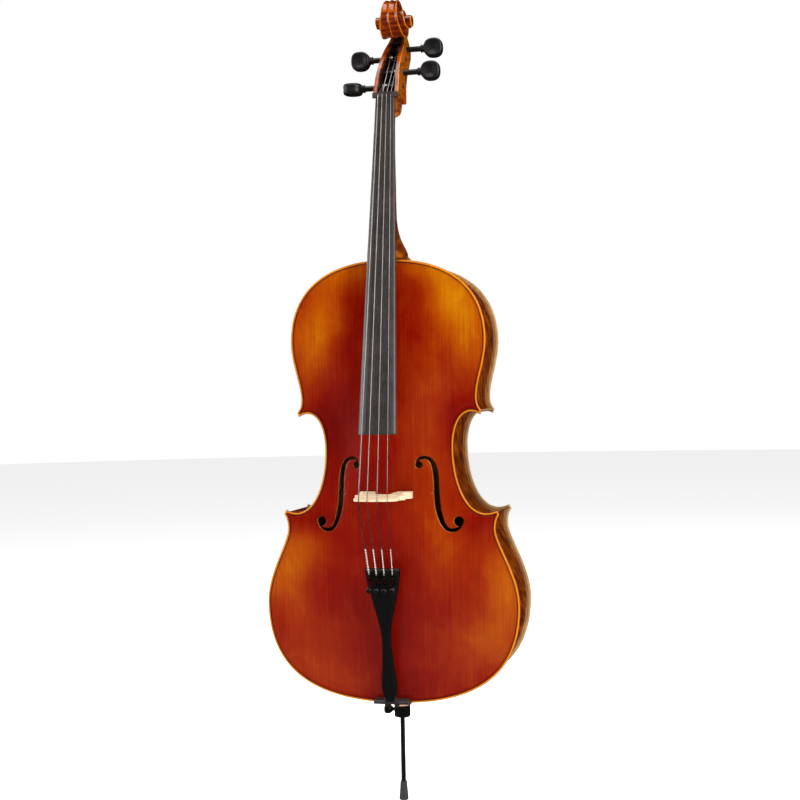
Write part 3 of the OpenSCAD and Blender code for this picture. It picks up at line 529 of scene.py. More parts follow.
def string_look(name, metal=True):
    """Wound string: fine turns across its length. `flow` is (length, angle in turns, 0)."""
    k = Look(name, rough=0.28 if metal else 0.75, metal=0.95 if metal else 0.0)
    flow = k.attribute("flow", True)
    length, turn, _ = k.add("SeparateXYZ", Vector=flow).outputs
    if metal:
        ridge_and_shade = k.math("SINE", k.math("MULTIPLY", length, 2 * PI / 0.7))
        # the winding's turns are painted lighter on their crests and darker in the grooves between them:
        # painted highlight and painted shade
        k.colour(k.blend(k.fit(ridge_and_shade, -1, 1), rgb(112, 108, 106), rgb(172, 168, 164)))
        k.bump(ridge_and_shade, 0.03, 0.4)
    else:
        lead = k.math("FRACT", k.math("ADD", k.math("DIVIDE", length, 5.0), turn))
        k.colour(k.blend(k.fit(lead, 0.40, 0.48, smooth=True), rgb(20, 14, 16), rgb(232, 228, 220)))
        k.bump(k.math("SINE", k.math("MULTIPLY", length, 2 * PI / 0.4)), 0.03, 0.5)
    return k.mat


SPRUCE = spruce_look()
BACK = maple_look("maple_back", rgb(70, 16, 4), rgb(122, 38, 5), rgb(176, 82, 14), 0.075, 0.16, 1.1,
                  rough=0.2, coat=0.3, edge=True)
RIBS = maple_look("maple_ribs", rgb(64, 22, 4), rgb(104, 42, 6), rgb(146, 70, 10), 0.14, 0.5, 1.0,
                  rough=0.14, coat=0.2)
HEAD = maple_look("maple_head", rgb(66, 12, 2), rgb(112, 34, 4), rgb(150, 66, 8), 0.12, 0.3, 0.8,
                  rough=0.2, coat=0.45, wear_and_light=rgb(196, 120, 26))
NECK = maple_look("maple_neck", rgb(88, 32, 6), rgb(134, 60, 12), rgb(174, 92, 24), 0.11, 0.2, 0.9,
                  rough=0.38, coat=0.25)
CUT = plain_wood("cut_spruce", rgb(150, 84, 24), rgb(206, 140, 56))
INSIDE = plain_wood("inside_wood", rgb(150, 112, 66), rgb(196, 160, 108))
PURFLING = plain_wood("purfling_wood", rgb(14, 8, 5), rgb(38, 20, 10), rough=0.35, coat=0.4)
EBONY = plain_wood("ebony_wood", rgb(36, 32, 30), rgb(68, 63, 60), (700, 700, 9), rough=0.36, coat=0.1,
                   depth=0.03)
BRIDGE = plain_wood("bridge_wood", rgb(208, 180, 142), rgb(232, 212, 182), (260, 40, 500), 0.5)
PEG = black_look("peg_black", rgb(15, 13, 13), rgb(24, 21, 21), 0.4, spec=0.3)
BLACK = black_look("composite_black", rgb(10, 9, 9), rgb(17, 15, 15), 0.34, spec=0.25)
METAL = black_look("black_metal", rgb(12, 11, 11), rgb(20, 19, 19), 0.22, spec=0.5)
DARK = plain_wood("pegbox_inside", rgb(12, 6, 4), rgb(30, 16, 10))
ROD = metal_look("dark_steel", rgb(92, 90, 90), 0.38)
STEEL = metal_look("bright_steel", rgb(200, 200, 204), 0.25)
BRASS = metal_look("brass", rgb(120, 92, 44), 0.4)
STRING = string_look("string_winding")
SILK = string_look("string_silk", False)
CORD = black_look("cord_black", rgb(18, 18, 19), rgb(40, 40, 42), 0.7, (2500, 2500, 700), 0.1)
PLUG = plain_wood("plug_wood", rgb(196, 150, 120), rgb(226, 190, 160))
RUBBER = black_look("rubber", rgb(44, 43, 46), rgb(58, 57, 60), 0.75)


# ---- outline, arching, plates
# the treble half's outline: the corners' two ends, and the curves between them
TIP_U, HEEL_U = (162, 496.5), (158.8, 489)
HEEL_L, TIP_L = (185, 328.7), (189, 321.6)
UPPER = [[(0, 755), (108, 755), (171, 707), (171, 617)],
         [(171, 617), (171, 580), (154.2, 546), (154.2, 518)],
         [(154.2, 518), (154.2, 508), (157.5, 501), TIP_U]]
MIDDLE = [[HEEL_U, (134.7, 505.4), (112.5, 482.4), (112.5, 432)],
          [(112.5, 432), (112.5, 367.4), (140, 306.1), HEEL_L]]
LOWER = [[TIP_L, (185, 316), (182.2, 308), (182.2, 297)],
         [(182.2, 297), (182.2, 272), (221, 220), (221, 169)],
         [(221, 169), (221, 59), (152.3, 0), (0, 0)]]
# the line where the arching begins
ARCH = [[(0, 745), (104, 745), (161, 700), (161, 617)],
        [(161, 617), (161, 560), (103.5, 500), (103.5, 432)],
        [(103.5, 432), (103.5, 350), (211, 262), (211, 169)],
        [(211, 169), (211, 65), (146, 10), (0, 10)]]
arch_line = np.vstack([bezier(c, np.linspace(0, 1, 60)) for c in ARCH])[::-1]
# the purfling's two edges from the outline, and its depth
RIM_IN, RIM_OUT = 4.2, 5.5
GROOVE = 1.6
# half the ribs' height, and the edge thickness of both plates
RIB = 60
PLATE = 5


def body_outline(step):
    """The body's closed outline, and where its treble side's three parts end."""
    parts = [chain(UPPER, step), chain(MIDDLE, step), chain(LOWER, step)]
    half = np.vstack(parts)
    return np.vstack([half, mirrored(half)[1:-1]]), np.cumsum([len(p) for p in parts])


def arch(x, z):
    """Share of the full rise, 0 at the channel and 1 at the crown."""
    wide = np.maximum(np.interp(z, arch_line[:, 1], arch_line[:, 0]), 1)
    u = np.clip(np.abs(x) / wide, 0, 1)
    s = np.clip(np.abs(z - 377.5) / 367.5, 0, 1)
    return (1 + np.cos(PI * u ** 1.15)) / 2 * (1 - s ** 4) ** 1.5


def face_out(x, z):
    return -(RIB + PLATE + 21 * arch(x, z))


def face_in(x, z):
    return -(RIB + 21.5 * arch(x, z))


def rounding(d, r):
    """How far a rounded edge falls back at a distance from it."""
    d = np.clip(d, 0, r)
    return r - np.sqrt(np.maximum(r * r - (r - d) ** 2, 0))


def scoop(d):
    """The shallow channel between the edge's bead and the arching."""
    t = np.clip((d - 3.2) / 13, 0, 1)
    return 0.9 * np.sin(PI * t ** 0.8) ** 2


# the sound hole's stem: the curves down its middle, and half its width at their ends
F_PATH = [[(50.6, 409), (52, 415.8), (58, 418.6), (64.4, 418)],
          [(64.4, 418), (76, 417), (80.4, 404), (82, 389)],
          [(82, 389), (84, 370), (83, 349), (85.6, 335)],
          [(85.6, 335), (88.6, 319), (94, 295.4), (108.4, 295.2)],
          [(108.4, 295.2), (117, 295), (124, 300), (125.6, 308)]]
F_WIDTH = [1.6, 3.0, 4.9, 5.1, 3.2, 1.7]


def f_hole_parts():
    """The stem and the two eyes of the treble sound hole, as separate closed loops."""
    mid, half = [], []
    for k, c in enumerate(F_PATH):
        t = np.linspace(0, 1, 25)[(0 if k == 0 else 1):]
        mid.append(bezier(c, t))
        half.append(F_WIDTH[k] + (F_WIDTH[k + 1] - F_WIDTH[k]) * (3 - 2 * t) * t * t)
    mid, half = np.vstack(mid), np.concatenate(half)
    slope = units(np.gradient(mid, axis=0))
    side = np.c_[slope[:, 1], -slope[:, 0]] * half[:, None]
    stem = np.vstack([mid + side, (mid - side)[::-1]])
    nick = np.array([(-8, 0), (0, 2.6), (8, 0), (0, -2.6)]) + (83.3, 359)
    return [stem, circle(54.6, 406, 6.2), circle(120, 310, 8.5, 48), nick]


def union_loop(parts):
    """The one outer loop round overlapping loops."""
    def keep(c):
        return np.any([inside(c, p) for p in parts], axis=0)
    flat, tri = cells(parts, keep)
    after = dict(rim(tri))
    loops = []
    while after:
        start, at = next(iter(after.items()))
        del after[start]
        loop = [start]
        while at != start:
            loop.append(at)
            at = after.pop(at)
        loops.append(flat[loop])
    return max(loops, key=lambda p: abs(area(p)))


def blob(x, z, cx, cz, sx, sz):
    return np.exp(-((x - cx) / sx) ** 2 - ((z - cz) / sz) ** 2)


def sunburst_and_painted_light(x, z):
    """How golden the top is: red down the middle, amber at the bouts. This is partly the varnish's sunburst
    and partly painted light: the treble side is made more golden than the bass side, and a darker strip
    beside the fingerboard on the bass side is painted shadow.
    """
    g = 0.2 + 0 * x
    for cx, cz, sx, sz, much in (
            (-112, 668, 48, 62, 0.5), (-142, 590, 44, 60, 0.4), (-75, 740, 70, 34, 0.45),
            (122, 690, 52, 64, 0.68), (146, 600, 36, 66, 0.42), (66, 742, 60, 30, 0.4),
            (72, 560, 40, 70, 0.16), (70, 430, 46, 120, 0.26), (92, 268, 48, 70, 0.26),
            (-192, 220, 48, 78, 0.44), (-150, 262, 42, 44, 0.3), (196, 200, 46, 84, 0.5),
            (-150, 90, 70, 60, 0.2), (150, 100, 80, 60, 0.28), (-90, 40, 80, 40, 0.14),
            (0, 120, 46, 130, -0.14), (-95, 470, 60, 70, -0.12), (118, 478, 34, 44, -0.2),
            (-60, 620, 22, 110, -0.08), (-150, 306, 42, 20, -0.18), (150, 306, 40, 20, -0.12)):
        g = g + much * blob(x, z, cx, cz, sx, sz)
    return np.clip(g, 0, 1)


def plate_edges(front, outline):
    """The plate's real edge, its sound holes, and the parts that are cut from it."""
    if front < 0:
        f = union_loop(f_hole_parts())
        notch = np.array([(-20, 743), (20, 743), (20, 790), (-20, 790)], float)
        seat = np.array([(-32, -3), (-32, 0), (-28, 9), (28, 9), (32, 0), (32, -3)], float)
        return outline, [f, mirrored(f)], [notch, seat]
    a = np.radians(np.linspace(2, 178, 40))
    button = np.c_[19 * np.cos(a), 755 + 19 * np.sin(a)]
    body = outline[np.abs(outline[:, 0]) > 19.2]
    top = int(np.argmax(np.where(body[:, 0] > 0, body[:, 1], -1)))
    return np.vstack([button[::-1], np.roll(body, -top, 0)]), [], []


def make_plate(front):
    """The top (front -1) or the back (front 1), and its purfling."""
    outline, _ = body_outline(2.2)
    real, holes, outside = plate_edges(front, outline)
    lines = [inset(outline, RIM_IN), inset(outline, RIM_OUT)]
    extra = edge_rows(real, (0.12, 0.4, 0.9, 1.5, 2.2, 3.1, 7.2, 9.4, 12, 15.5), 0.06)
    for hole in holes:
        extra += edge_rows(hole, (0.2, 0.7), 0.04, True)
    extra.append(lattice(real, np.arange(-222, 223, 4.5), np.arange(2, 775, 6.0), 17.5, holes, 1.6))
    flat, tri = cells([real] + holes, kept_in(real, holes + outside), extra, lines + outside)
    x, z = flat[:, 0], flat[:, 1]
    d = np.where(inside(flat, real), distance(flat, real), 0)
    d_hole = np.min([distance(flat, h) for h in holes], axis=0) if holes else 99 + 0 * d
    # the edge of the plate falls round to its middle, and the rest follows the arching
    outer = face_out(x, z) + rounding(d, 2.3) + scoop(d) * (d < 30) + rounding(d_hole, 0.6)
    inner = face_in(x, z) - rounding(d, 1.9)
    outer, inner = -front * outer, -front * inner
    centre = flat[tri].mean(axis=1)
    far = distance(centre, outline)
    strip = (far > RIM_IN - 0.01) & (far < RIM_OUT + 0.01) & inside(centre, outline)
    name = "top" if front < 0 else "back"
    # purfling: the strip's own closed piece, let into the plate
    bottom = outer - front * GROOVE
    used, strip_tri = compact(len(flat), tri[strip])
    p, f = slab(flat[used], strip_tri, outer[used], bottom[used], front)
    mesh(name + "_purfling_strip", p, f, PURFLING, stands_for=[name + "_purfling"])
    # plate: its outer face without the strip, the groove, the inner face and the walls
    n = len(flat)
    points = np.vstack([np.c_[x, outer, z], np.c_[x, inner, z], np.c_[x, bottom, z]])
    outs = tri if front < 0 else tri[:, ::-1]
    faces = outs[~strip].tolist() + (outs[strip] + 2 * n).tolist() + (outs[:, ::-1] + n).tolist()
    which = [0] * len(outs) + [1] * len(outs)
    for a, b in rim(outs[strip]):
        faces.append((a, b, b + 2 * n, a + 2 * n))
        which.append(0)
    for a, b in rim(outs):
        faces.append((b, a, a + n, b + n))
        middle = (flat[a] + flat[b])[None] / 2
        at_hole = any(distance(middle, h)[0] < 0.4 for h in holes)
        which.append(2 if at_hole else 0)
    values = {"edge": np.tile(d, 3)}
    if front < 0:
        # the top's gold: sunburst varnish, with painted light on the treble side and painted shadow beside
        # the fingerboard
        values["gold"] = np.tile(sunburst_and_painted_light(x, z), 3)
        mats, slot = [SPRUCE, INSIDE, CUT], "varnished_spruce"
    else:
        # two joined halves, whose flame slopes away from the centre joint
        halves = np.c_[z + 0.22 * np.abs(x), np.abs(x) + np.where(x < 0, 900, 0), 0 * x]
        values["flow"] = np.tile(halves, (3, 1))
        mats, slot = [BACK, INSIDE, BACK], "varnished_maple"
    mesh(name + "_plate_wood", points, faces, mats, stands_for=[name + "_plate"],
         which=which, values=values, sharp=50)


make_plate(-1)
make_plate(1)


# ---- ribs
# where each part's flame starts in the wood, so that no two are alike
RIB_FLAME = {"upper": 0, "middle": 700, "lower": 1500}
BASS_FLAME = 4000


def rib_end(line, keep, x, last):
    """The kept part of the rib's line, with its first or last point at x."""
    if last:
        return np.vstack([line[keep], [x, line[~keep][0, 1]]])
    return np.vstack([[x, line[~keep][-1, 1]], line[keep]])


def make_ribs():
    loop, marks = body_outline(1.8)
    edges = inset(loop, 4.0), inset(loop, 5.6)
    spans = {"upper": (0, marks[0]), "middle": (marks[0], marks[1]), "lower": (marks[1], marks[2])}
    for part, (a, b) in spans.items():
        lines = []
        for edge in edges:
            line = edge[a:b]
            # neighbours meet at a mitre in the middle of the corner's blunt end
            if part != "upper":
                line = np.vstack([(edge[a - 1] + edge[a]) / 2, line])
            if part != "lower":
                line = np.vstack([line, (edge[b - 1] + edge[b]) / 2])
            lines.append(line)
        # the upper ribs end at the neck, and the lower ribs at the endpin's plug
        if part != "middle":
            x = 20.02 if part == "upper" else 12.6
            keep = lines[0][:, 0] >= x
            lines = [rib_end(line, keep, x, part == "lower") for line in lines]
        o, i = lines
        along = lengths(o) + RIB_FLAME[part]
        for side, word in ((1, "treble"), (-1, "bass")):
            rings = []
            for (ox, oz), (ix, iz) in zip(o, i):
                rings.append([(side * ox, -RIB, oz), (side * ox, RIB, oz), (side * ix, RIB, iz),
                              (side * ix, -RIB, iz)])
            p, f = skin(rings[::side])
            start = BASS_FLAME if side < 0 else 0
            flow = np.c_[np.repeat(along[::side], 4) + start, p[:, 1], 0 * p[:, 1]]
            # each ring's last two points are the inner face
            which = [1 if len(g) == 4 and all(v % 4 in (2, 3) for v in g) else 0 for g in f]
            name = f"{part}_rib_{word}"
            mesh(name + "_wood", p, f, [RIBS, INSIDE], stands_for=[name],
                 which=which, values={"flow": flow}, sharp=40)


make_ribs()


# ---- neck
def glue_y(z):
    """Where the fingerboard lies on the neck."""
    return GLUE_AT_NUT - TILT_BACK * (NUT_Z - z)


NECK_BACK = [(757, 60), (770, 60), (775, 56), (780, 42), (786, 22), (793, 0), (801, -18), (811, -34),
             (824, -48), (842, -54), (870, -52.5), (1000, -23.5), (1004, -15), (1008, -4), (1014, 5),
             (1021, 12), (1029, 16), (HEAD_Z, 18)]
# how square the section is, how wide, and how much narrower behind than at the fingerboard
NECK_SQUARE = [(757, 1), (780, 0.9), (811, 0.35), (842, 0), (1000, 0), (1008, 0.5), (1021, 0.75),
               (HEAD_Z, 0.8)]
NECK_W = [(757, 26), (801, 24.5), (870, 22), (1000, 17.2), (1022, 17.6), (HEAD_Z, 18)]
NECK_TAPER = [(757, 0.33), (842, 0.33), (1000, 0.2), (1014, 0.1), (HEAD_Z, 0.1)]
# the chin is wider behind than where it meets the fingerboard
CHIN_SWELL = [(990, 0), (1000, 0), (1006, 4), (1014, 7), (HEAD_Z, 7)]
# the joint under the pegbox slopes down to the back, and the chin leans with it
CHIN_SLOPE = 0.17


def make_neck():
    zs = np.unique(np.r_[np.linspace(757, 772, 6), np.linspace(772, 842, 40), np.linspace(842, 1000, 30),
                         np.linspace(1000, HEAD_Z, 28)])
    a = np.linspace(0, PI, 41)
    rings, flow = [], []
    for z in zs:
        front = glue_y(min(z, NUT_Z))
        back, w, k, taper, swell = read((NECK_BACK, NECK_W, NECK_SQUARE, NECK_TAPER, CHIN_SWELL), z)
        depth = back - front
        c, s = np.cos(a), np.clip(np.sin(a), 0, 1)
        wide = (1 - k) * c + k * np.sign(c) * np.abs(c) ** 0.35 * (1 - taper * s)
        y = front + depth * ((1 - k) * s + k * s ** 0.6)
        lean = CHIN_SLOPE * max(0, z - 1000) / 43.5
        x = (w + swell * s) * wide
        rings.append(np.c_[x, y, z - lean * (y - front)])
        flow.append(np.c_[z + 0 * a, y, x])
    p, f = skin(rings)
    flow = np.vstack(flow)
    # the tenon in the upper block
    q, g = skin([[(-19.98, -84.4, z), (19.98, -84.4, z), (19.98, 59.9, z), (-19.98, 59.9, z)]
                 for z in (743, 759)])
    p, f = joined((p, f), (q, g))
    flow = np.vstack([flow, q[:, [2, 1, 0]]])
    mesh("neck_wood", p, f, NECK, stands_for=["neck"], values={"flow": flow}, sharp=40)


make_neck()


# ---- pegbox and scroll
BOX_FRONT = [(HEAD_Z, -40), (1054, -35), (1080, -23), (1104, -5), (1127, 18), (1144, 40), (1151, 50)]
BOX_BACK = [(HEAD_Z, 21), (1060, 23), (1080, 31), (1104, 51), (1126, 71), (1150, 80), (1165, 81.8),
            (1176, 81.6), (1184, 80.6)]
# the cavity's floor
CAVE = [(1044.6, -30), (1048, 2), (1064, 4), (1084, 14), (1108, 35), (1130, 54), (1142, 60), (1148.5, 41)]
BOX_W = [(HEAD_Z, 22.5), (1060, 21.9), (1086, 20.4), (1112, 18.6), (1135, 17.2), (1151, 15.4),
         (1168, 12.6), (1184, 9.6)]
# how much wider the pegbox is at its back than at its open front
FLARE = [(HEAD_Z, 0.5), (1060, 1), (1080, 2), (1104, 3.2), (1126, 3.2), (1150, 1.6), (1165, 0), (1183, 0)]
# the volute: its eye, and its half width at each angle round it
EYE = (36.0, 1183.0)
VOLUTE_W = [(-60, 12.5), (0, 10), (60, 9.2), (95, 9.8), (135, 12.2), (180, 15), (225, 19), (270, 21),
            (337, 20.4), (405, 18.4), (450, 17.8), (540, 22.5), (630, 27.5), (675, 30.5), (720, 32.5),
            (1100, 32.5)]
EYE_W = 32.5
SQUASH = 0.945


def spiral(a):
    """The turns' radius at an angle, which ends at the eye after two turns."""
    bulge = 1 + 0.22 * np.clip(-np.cos(np.radians(a)), 0, 1) ** 1.5
    return (10.5 + 34.5 * np.clip(1 - a / 720, 0, 1) ** 1.15) * bulge


def on_volute(degrees, radius, x):
    a = math.radians(degrees)
    return (x, EYE[0] + radius * math.cos(a), EYE[1] + SQUASH * radius * math.sin(a))


def volute_w(degrees):
    return read([VOLUTE_W], degrees)[0]


def pegbox_ring(z):
    """Half of the pegbox at one height, from the spine round the treble side to the cheek's
    front and down the cavity's wall, and how golden its varnish is made there: wear on the
    chamfers and the spine, and painted light on the cheek's side."""
    w, back, flare = read((BOX_W, BOX_BACK, FLARE), z)
    front = read([BOX_FRONT], z)[0] if z < 1151 else min(50 + (z - 1151) * 0.9, 62.3)
    # the cheek hollows where it becomes the volute's first turn
    dish = 3.1 * min(1, max(0, (z - 1162) / 21))
    floor = max(read([CAVE], z)[0] if 1044.61 < z < 1148.5 else front, front)
    open_ = floor > front + 0.5
    wall = min(7.2, w * 0.46)
    flute = 2.2 * min(1, max(0, (z - 1046) / 20))
    half, wear_and_light = [], []
    for t in np.linspace(0, 1, 13):
        half.append((t * (w + flare - 1.6), back - flute * math.sin(PI * min(1, t * 1.02)) ** 2))
        wear_and_light.append(0.8 if t < 0.04 else (0.5 if t > 0.97 else 0))
    half += [(w + flare - 0.6, back - 0.4), (w + flare, back - 1.8)]
    wear_and_light += [0.8, 0.5]
    # the cheek's side is painted lighter than the front face: painted light
    for t in np.linspace(0.06, 0.97, 12):
        x = w + flare * (1 - t) + 0.5 * math.sin(PI * t) - dish * math.sin(PI * min(t * 0.9, 0.5))
        half.append((x, back - 1.8 + (front + 2.2 - back + 1.8) * t))
        wear_and_light.append(0.3)
    half += [(w - dish, front + 1.6), (w - dish - 0.5, front + 0.4), (w - dish - 1.5, front)]
    wear_and_light += [0.4, 1, 0.1]
    rest = front + 0.9 if open_ else front
    end = floor if open_ else front
    half += [(w - wall + 0.8 - dish / 2, front), (w - wall - dish / 2, rest)]
    for t in (0.25, 0.5, 0.75, 0.93):
        half.append((w - wall, rest + (floor - rest) * t if open_ else front))
    base = w - wall - (2.0 if open_ else 0)
    half += [(base, end), (base * 0.5, end)]
    ring = np.vstack([half, [[0, end]], np.array(half)[1:][::-1] * [-1, 1]])
    wear_and_light = wear_and_light + [0] * (len(half) - len(wear_and_light))
    return ring, wear_and_light + [0] + wear_and_light[1:][::-1]


def pegbox():
    zs = np.unique(np.r_[HEAD_Z, 1044.6, 1044.62, np.linspace(1044.8, 1048, 6), np.linspace(1049, 1142, 60),
                         np.linspace(1142, 1152, 12), np.linspace(1152, 1184, 20)])
    rings, wear_and_light = [], []
    for z in zs:
        ring, on = pegbox_ring(z)
        # the lower end slopes down behind the nut, as the neck's top does
        fall = CHIN_SLOPE * np.clip((1058 - z) / 14.5, 0, 1) * (ring[:, 1] - GLUE_AT_NUT)
        rings.append(np.c_[ring, z - fall])
        wear_and_light += on
    p, f = skin(rings)
    n = len(rings[0])
    middle = (n - 1) // 2
    # the cavity's faces are dark
    dark = [1 if (len(g) == 4 and all(abs(v % n - middle) <= 7 for v in g) and p[g[0], 2] > 1048) else 0
            for g in f]
    return p, f, wear_and_light, dark


TURN = np.linspace(0, 360, 120, endpoint=False)


def volute_row(a):
    """The two turns' side faces on the ray at one angle, as (radius, x), and their wear."""
    row, wear_and_light = [], []
    for k in (0, 1):
        out, nxt = float(spiral(a + 360 * k)), float(spiral(a + 360 * (k + 1)))
        w = volute_w(a + 360 * k)
        gap = out - nxt
        deep = min(3.2, 0.22 * gap + 1.0) * (1 if k == 0 else 0.9)
        row += [(out - 0.9, w), (out - 1.9, w + 0.1)] if k == 0 else [(out - 0.7, w), (out - 1.6, w + 0.1)]
        wear_and_light += [1, 0.5 if k == 0 else 0.4]
        for t in (0.12, 0.3, 0.5, 0.7, 0.85, 0.95):
            row.append((out - 1.9 - (gap - 1.9) * t, w - deep * math.sin(PI * min(t * 0.9, 0.5) ** 0.9)))
        low = w - deep
        rise = volute_w(a + 360) if k == 0 else EYE_W
        row += [(nxt + 0.15, low), (nxt, low + (rise - low) * 0.5), (nxt, rise - 2.2), (nxt, rise - 0.9)]
        wear_and_light += [0] * 9 + [0.6]
    # the eye: a low button with a rounded rim
    for inward, up in ((0.9, 0), (3, 0.5), (6, 0.9), (9, 1.1)):
        row.append((max(nxt - inward, 0.3), EYE_W + up))
        wear_and_light.append(0.9 if inward < 2 else 0.1)
    return row, wear_and_light


def volute_side(side):
    """A sheet over one side of the turns."""
    points, wear_and_light, faces = [], [], []
    for a in TURN:
        row, on = volute_row(a)
        points += [on_volute(a, r, side * x) for r, x in row]
        wear_and_light += on
    cols = len(row)
    lap = 12
    last = (len(TURN) - 1) * cols

    def strip(first, second, columns):
        faces.extend((first + i, second + i, second + i + 1, first + i + 1)[::side] for i in columns)
    for start in range(0, last, cols):
        strip(start, start + cols, range(cols - 1))
    # after each lap the spiral is one turn further in, so the last row meets the first one turn on
    strip(last, lap, range(cols - 1 - lap))
    strip(last, 0, range(cols - 5, cols - 1))
    points.append((side * (EYE_W + 1.15), *EYE))
    wear_and_light.append(0)
    for k in range(len(TURN)):
        faces.append((k * cols + cols - 1, (k + 1) % len(TURN) * cols + cols - 1, len(points) - 1)[::side])
    return points, faces, wear_and_light


def volute_band():
    """The fluted band from where it leaves the pegbox's back to where it tucks in under the
    first turn."""
    points, wear_and_light, faces = [], [], []
    angles = np.r_[np.linspace(-14, 0, 5), TURN[1:], 360, 368]
    across = np.linspace(-1, 1, 25)
    for a in angles:
        r, w = float(spiral(max(a, 0))), volute_w(a)
        deep = min(2.6, w * 0.2)
        for t in across:
            u = abs(t)
            if u > 0.985:
                points.append(on_volute(a, r - 0.9, math.copysign(w, t)))
                wear_and_light.append(1)
                continue
            sink = deep * math.sin(PI * u) ** 1.2 if u > 0.02 else 0
            points.append(on_volute(a, r - sink, (w - 0.1) * t * 0.965))
            wear_and_light.append(0.5 if u < 0.05 else (0.6 if u > 0.93 else 0))
    n = len(across)
    for start in range(0, (len(angles) - 1) * n, n):
        faces += [(i, i + n, i + n + 1, i + 1) for i in range(start, start + n - 1)]
    return points, faces, wear_and_light


def make_head():
    p, f, wear_and_light, dark = pegbox()
    parts = [(p, f)]
    for q, g, on in (volute_side(1), volute_side(-1), volute_band()):
        parts.append((q, g))
        wear_and_light += on
    p, f = joined(*parts)
    mesh("head_wood", p, f, [HEAD, DARK], stands_for=["head"], sharp=38,
         which=dark + [0] * (len(f) - len(dark)), values={"flow": p[:, ::-1], "wear_and_light": wear_and_light})


make_head()


# ---- fingerboard
def make_board():
    zs = np.r_[np.linspace(459.7, 462, 5), np.linspace(470, 735, 14), np.linspace(741, 761, 12),
               np.linspace(790, NUT_Z, 12)]
    rings = []
    for z in zs:
        w = (33 + (65 - 33) * (NUT_Z - z) / (NUT_Z - BOARD_END)) / 2
        y = glue_y(z)
        side = y - BOARD_SIDE
        top = side - crown_drop(w)
        end = min(1, (z - 459.7) / 2.3)
        back = 0.6 * (1 - math.sqrt(max(0, 1 - (1 - end) ** 2)))
        edge = [(w - 0.3, side + 0.25), (w, side + 1.0), (w, y - 0.5), (w - 0.5, y)]
        ring = [(x, top + crown_drop(x) + back) for x in np.linspace(-w + 0.9, w - 0.9, 25)] + edge
        # past the neck the board's back is hollowed
        t = np.clip((750 - z) / 14, 0, 1)
        hollow = 0.4 + 6.6 * t * t * (3 - 2 * t)
        for x in np.linspace(w - 3, -w + 3, 17):
            ring.append((x, y - hollow * (1 - (x / (w - 3)) ** 2) ** 0.7 if abs(x) < w - 3.01 else y))
        ring += [(-x, edge_y) for x, edge_y in edge[::-1]]
        rings.append([(x, ring_y, max(z, 459.75)) for x, ring_y in ring])
    p, f = skin(rings)
    mesh("fingerboard_wood", p, f, EBONY, stands_for=["fingerboard"], sharp=40)


make_board()


# ---- strings, pegs
# across the body from the C string to the A string: the grooves, each string's thickness and
# its tuner
NUT_X = [-11.2, -3.8, 3.8, 11.2]
BRIDGE_X = [-25.4, -9.7, 7.1, 23.2]
GAUGE = [1.8, 1.45, 1.2, 1.0]
TUNER_X = [-21.5, -8, 5.3, 18.7]
# pegs: side, depth, height, middle of the winding, how far the collar stands out
PEGS = [(-1, -4, 1060, -9, 25.7), (-1, 32, 1117, -5, 23.4), (1, 48, 1136, 5, 29.8),
        (1, 6, 1086, 9, 29.7)]
NAMES = "cgda"
TAIL_TOP, TILT = (-121.0, 237.0), math.radians(10.2)
BRIDGE_FOOT = face_out(0, BRIDGE_Z)
BRIDGE_TOP = BRIDGE_FOOT - 90


def nut_y(x):
    return GLUE_AT_NUT - BOARD_SIDE - crown_drop(16.5) - 0.4 + crown_drop(x) * 0.9


def bridge_y(x):
    return BRIDGE_TOP + crown_drop(x)


def tail_crown(x):
    return 10.5 - (60 - np.sqrt(3600 - np.asarray(x, float) ** 2))


def tail_point(p):
    """From the tailpiece's own frame to the body's."""
    p = np.atleast_2d(np.asarray(p, float))
    c, s = math.cos(TILT), math.sin(TILT)
    return np.c_[p[:, 0], TAIL_TOP[0] + p[:, 1] * c - p[:, 2] * s, TAIL_TOP[1] + p[:, 1] * s + p[:, 2] * c]


def string_points(i):
    """The string's ends and where it bends: at its peg, the nut, the bridge and the tailpiece."""
    n = np.array([NUT_X[i], nut_y(NUT_X[i]) - GAUGE[i] / 2, 1039.25])
    b = np.array([BRIDGE_X[i], bridge_y(BRIDGE_X[i]) - GAUGE[i] / 2, BRIDGE_Z])
    t = tail_point((TUNER_X[i], -float(tail_crown(TUNER_X[i])) - 1.6, -8.5))[0]
    _, py, pz, px, _ = PEGS[i]
    v = np.array([py, pz]) - n[1:]
    # it leaves the outside of its turns on the peg
    r = 6.6 + GAUGE[i] / 2 + 0.45
    a = math.atan2(v[1], v[0]) + PI / 2 - math.asin(r / np.linalg.norm(v))
    return np.array([px, py + r * math.cos(a), pz + r * math.sin(a)]), n, b, t


def run(a, b, step):
    """Points from a to b at about one distance."""
    return a + (b - a) * np.linspace(0, 1, max(2, int(np.linalg.norm(b - a) / step)) + 1)[:, None]


def wire(path, along, radius, count):
    """A string's pipe, with the length and the share of a turn at each point."""
    p, f = pipe(path, radius, count)
    turns = np.tile(np.arange(count) / count, len(path))
    return p, f, np.c_[np.repeat(along, count), turns, 0 * turns]


def make_strings():
    for i, name in enumerate(NAMES):
        peg, n, b, t = string_points(i)
        # silk wrapping covers the last 48 before the tailpiece
        silk_at = b + (t - b) * (1 - 48 / np.linalg.norm(t - b))
        path = np.vstack([run(peg, n, 6), run(n, b, 25)[1:], run(b, silk_at, 8)[1:]])
        p1, f1, flow1 = wire(path, lengths(path), GAUGE[i] / 2, 14)
        silk = run(silk_at, t, 1.0)
        p2, f2, flow2 = wire(silk, np.arange(len(silk)), GAUGE[i] / 2 + 0.22, 24)
        p, f = joined((p1, f1), (p2, f2))
        mesh(f"string_{name}_wire", p, f, [STRING, SILK], stands_for=[f"string_{name}"],
             which=[0] * len(f1) + [1] * len(f2),
             values={"flow": np.vstack([flow1, flow2])}, sharp=60)


make_strings()


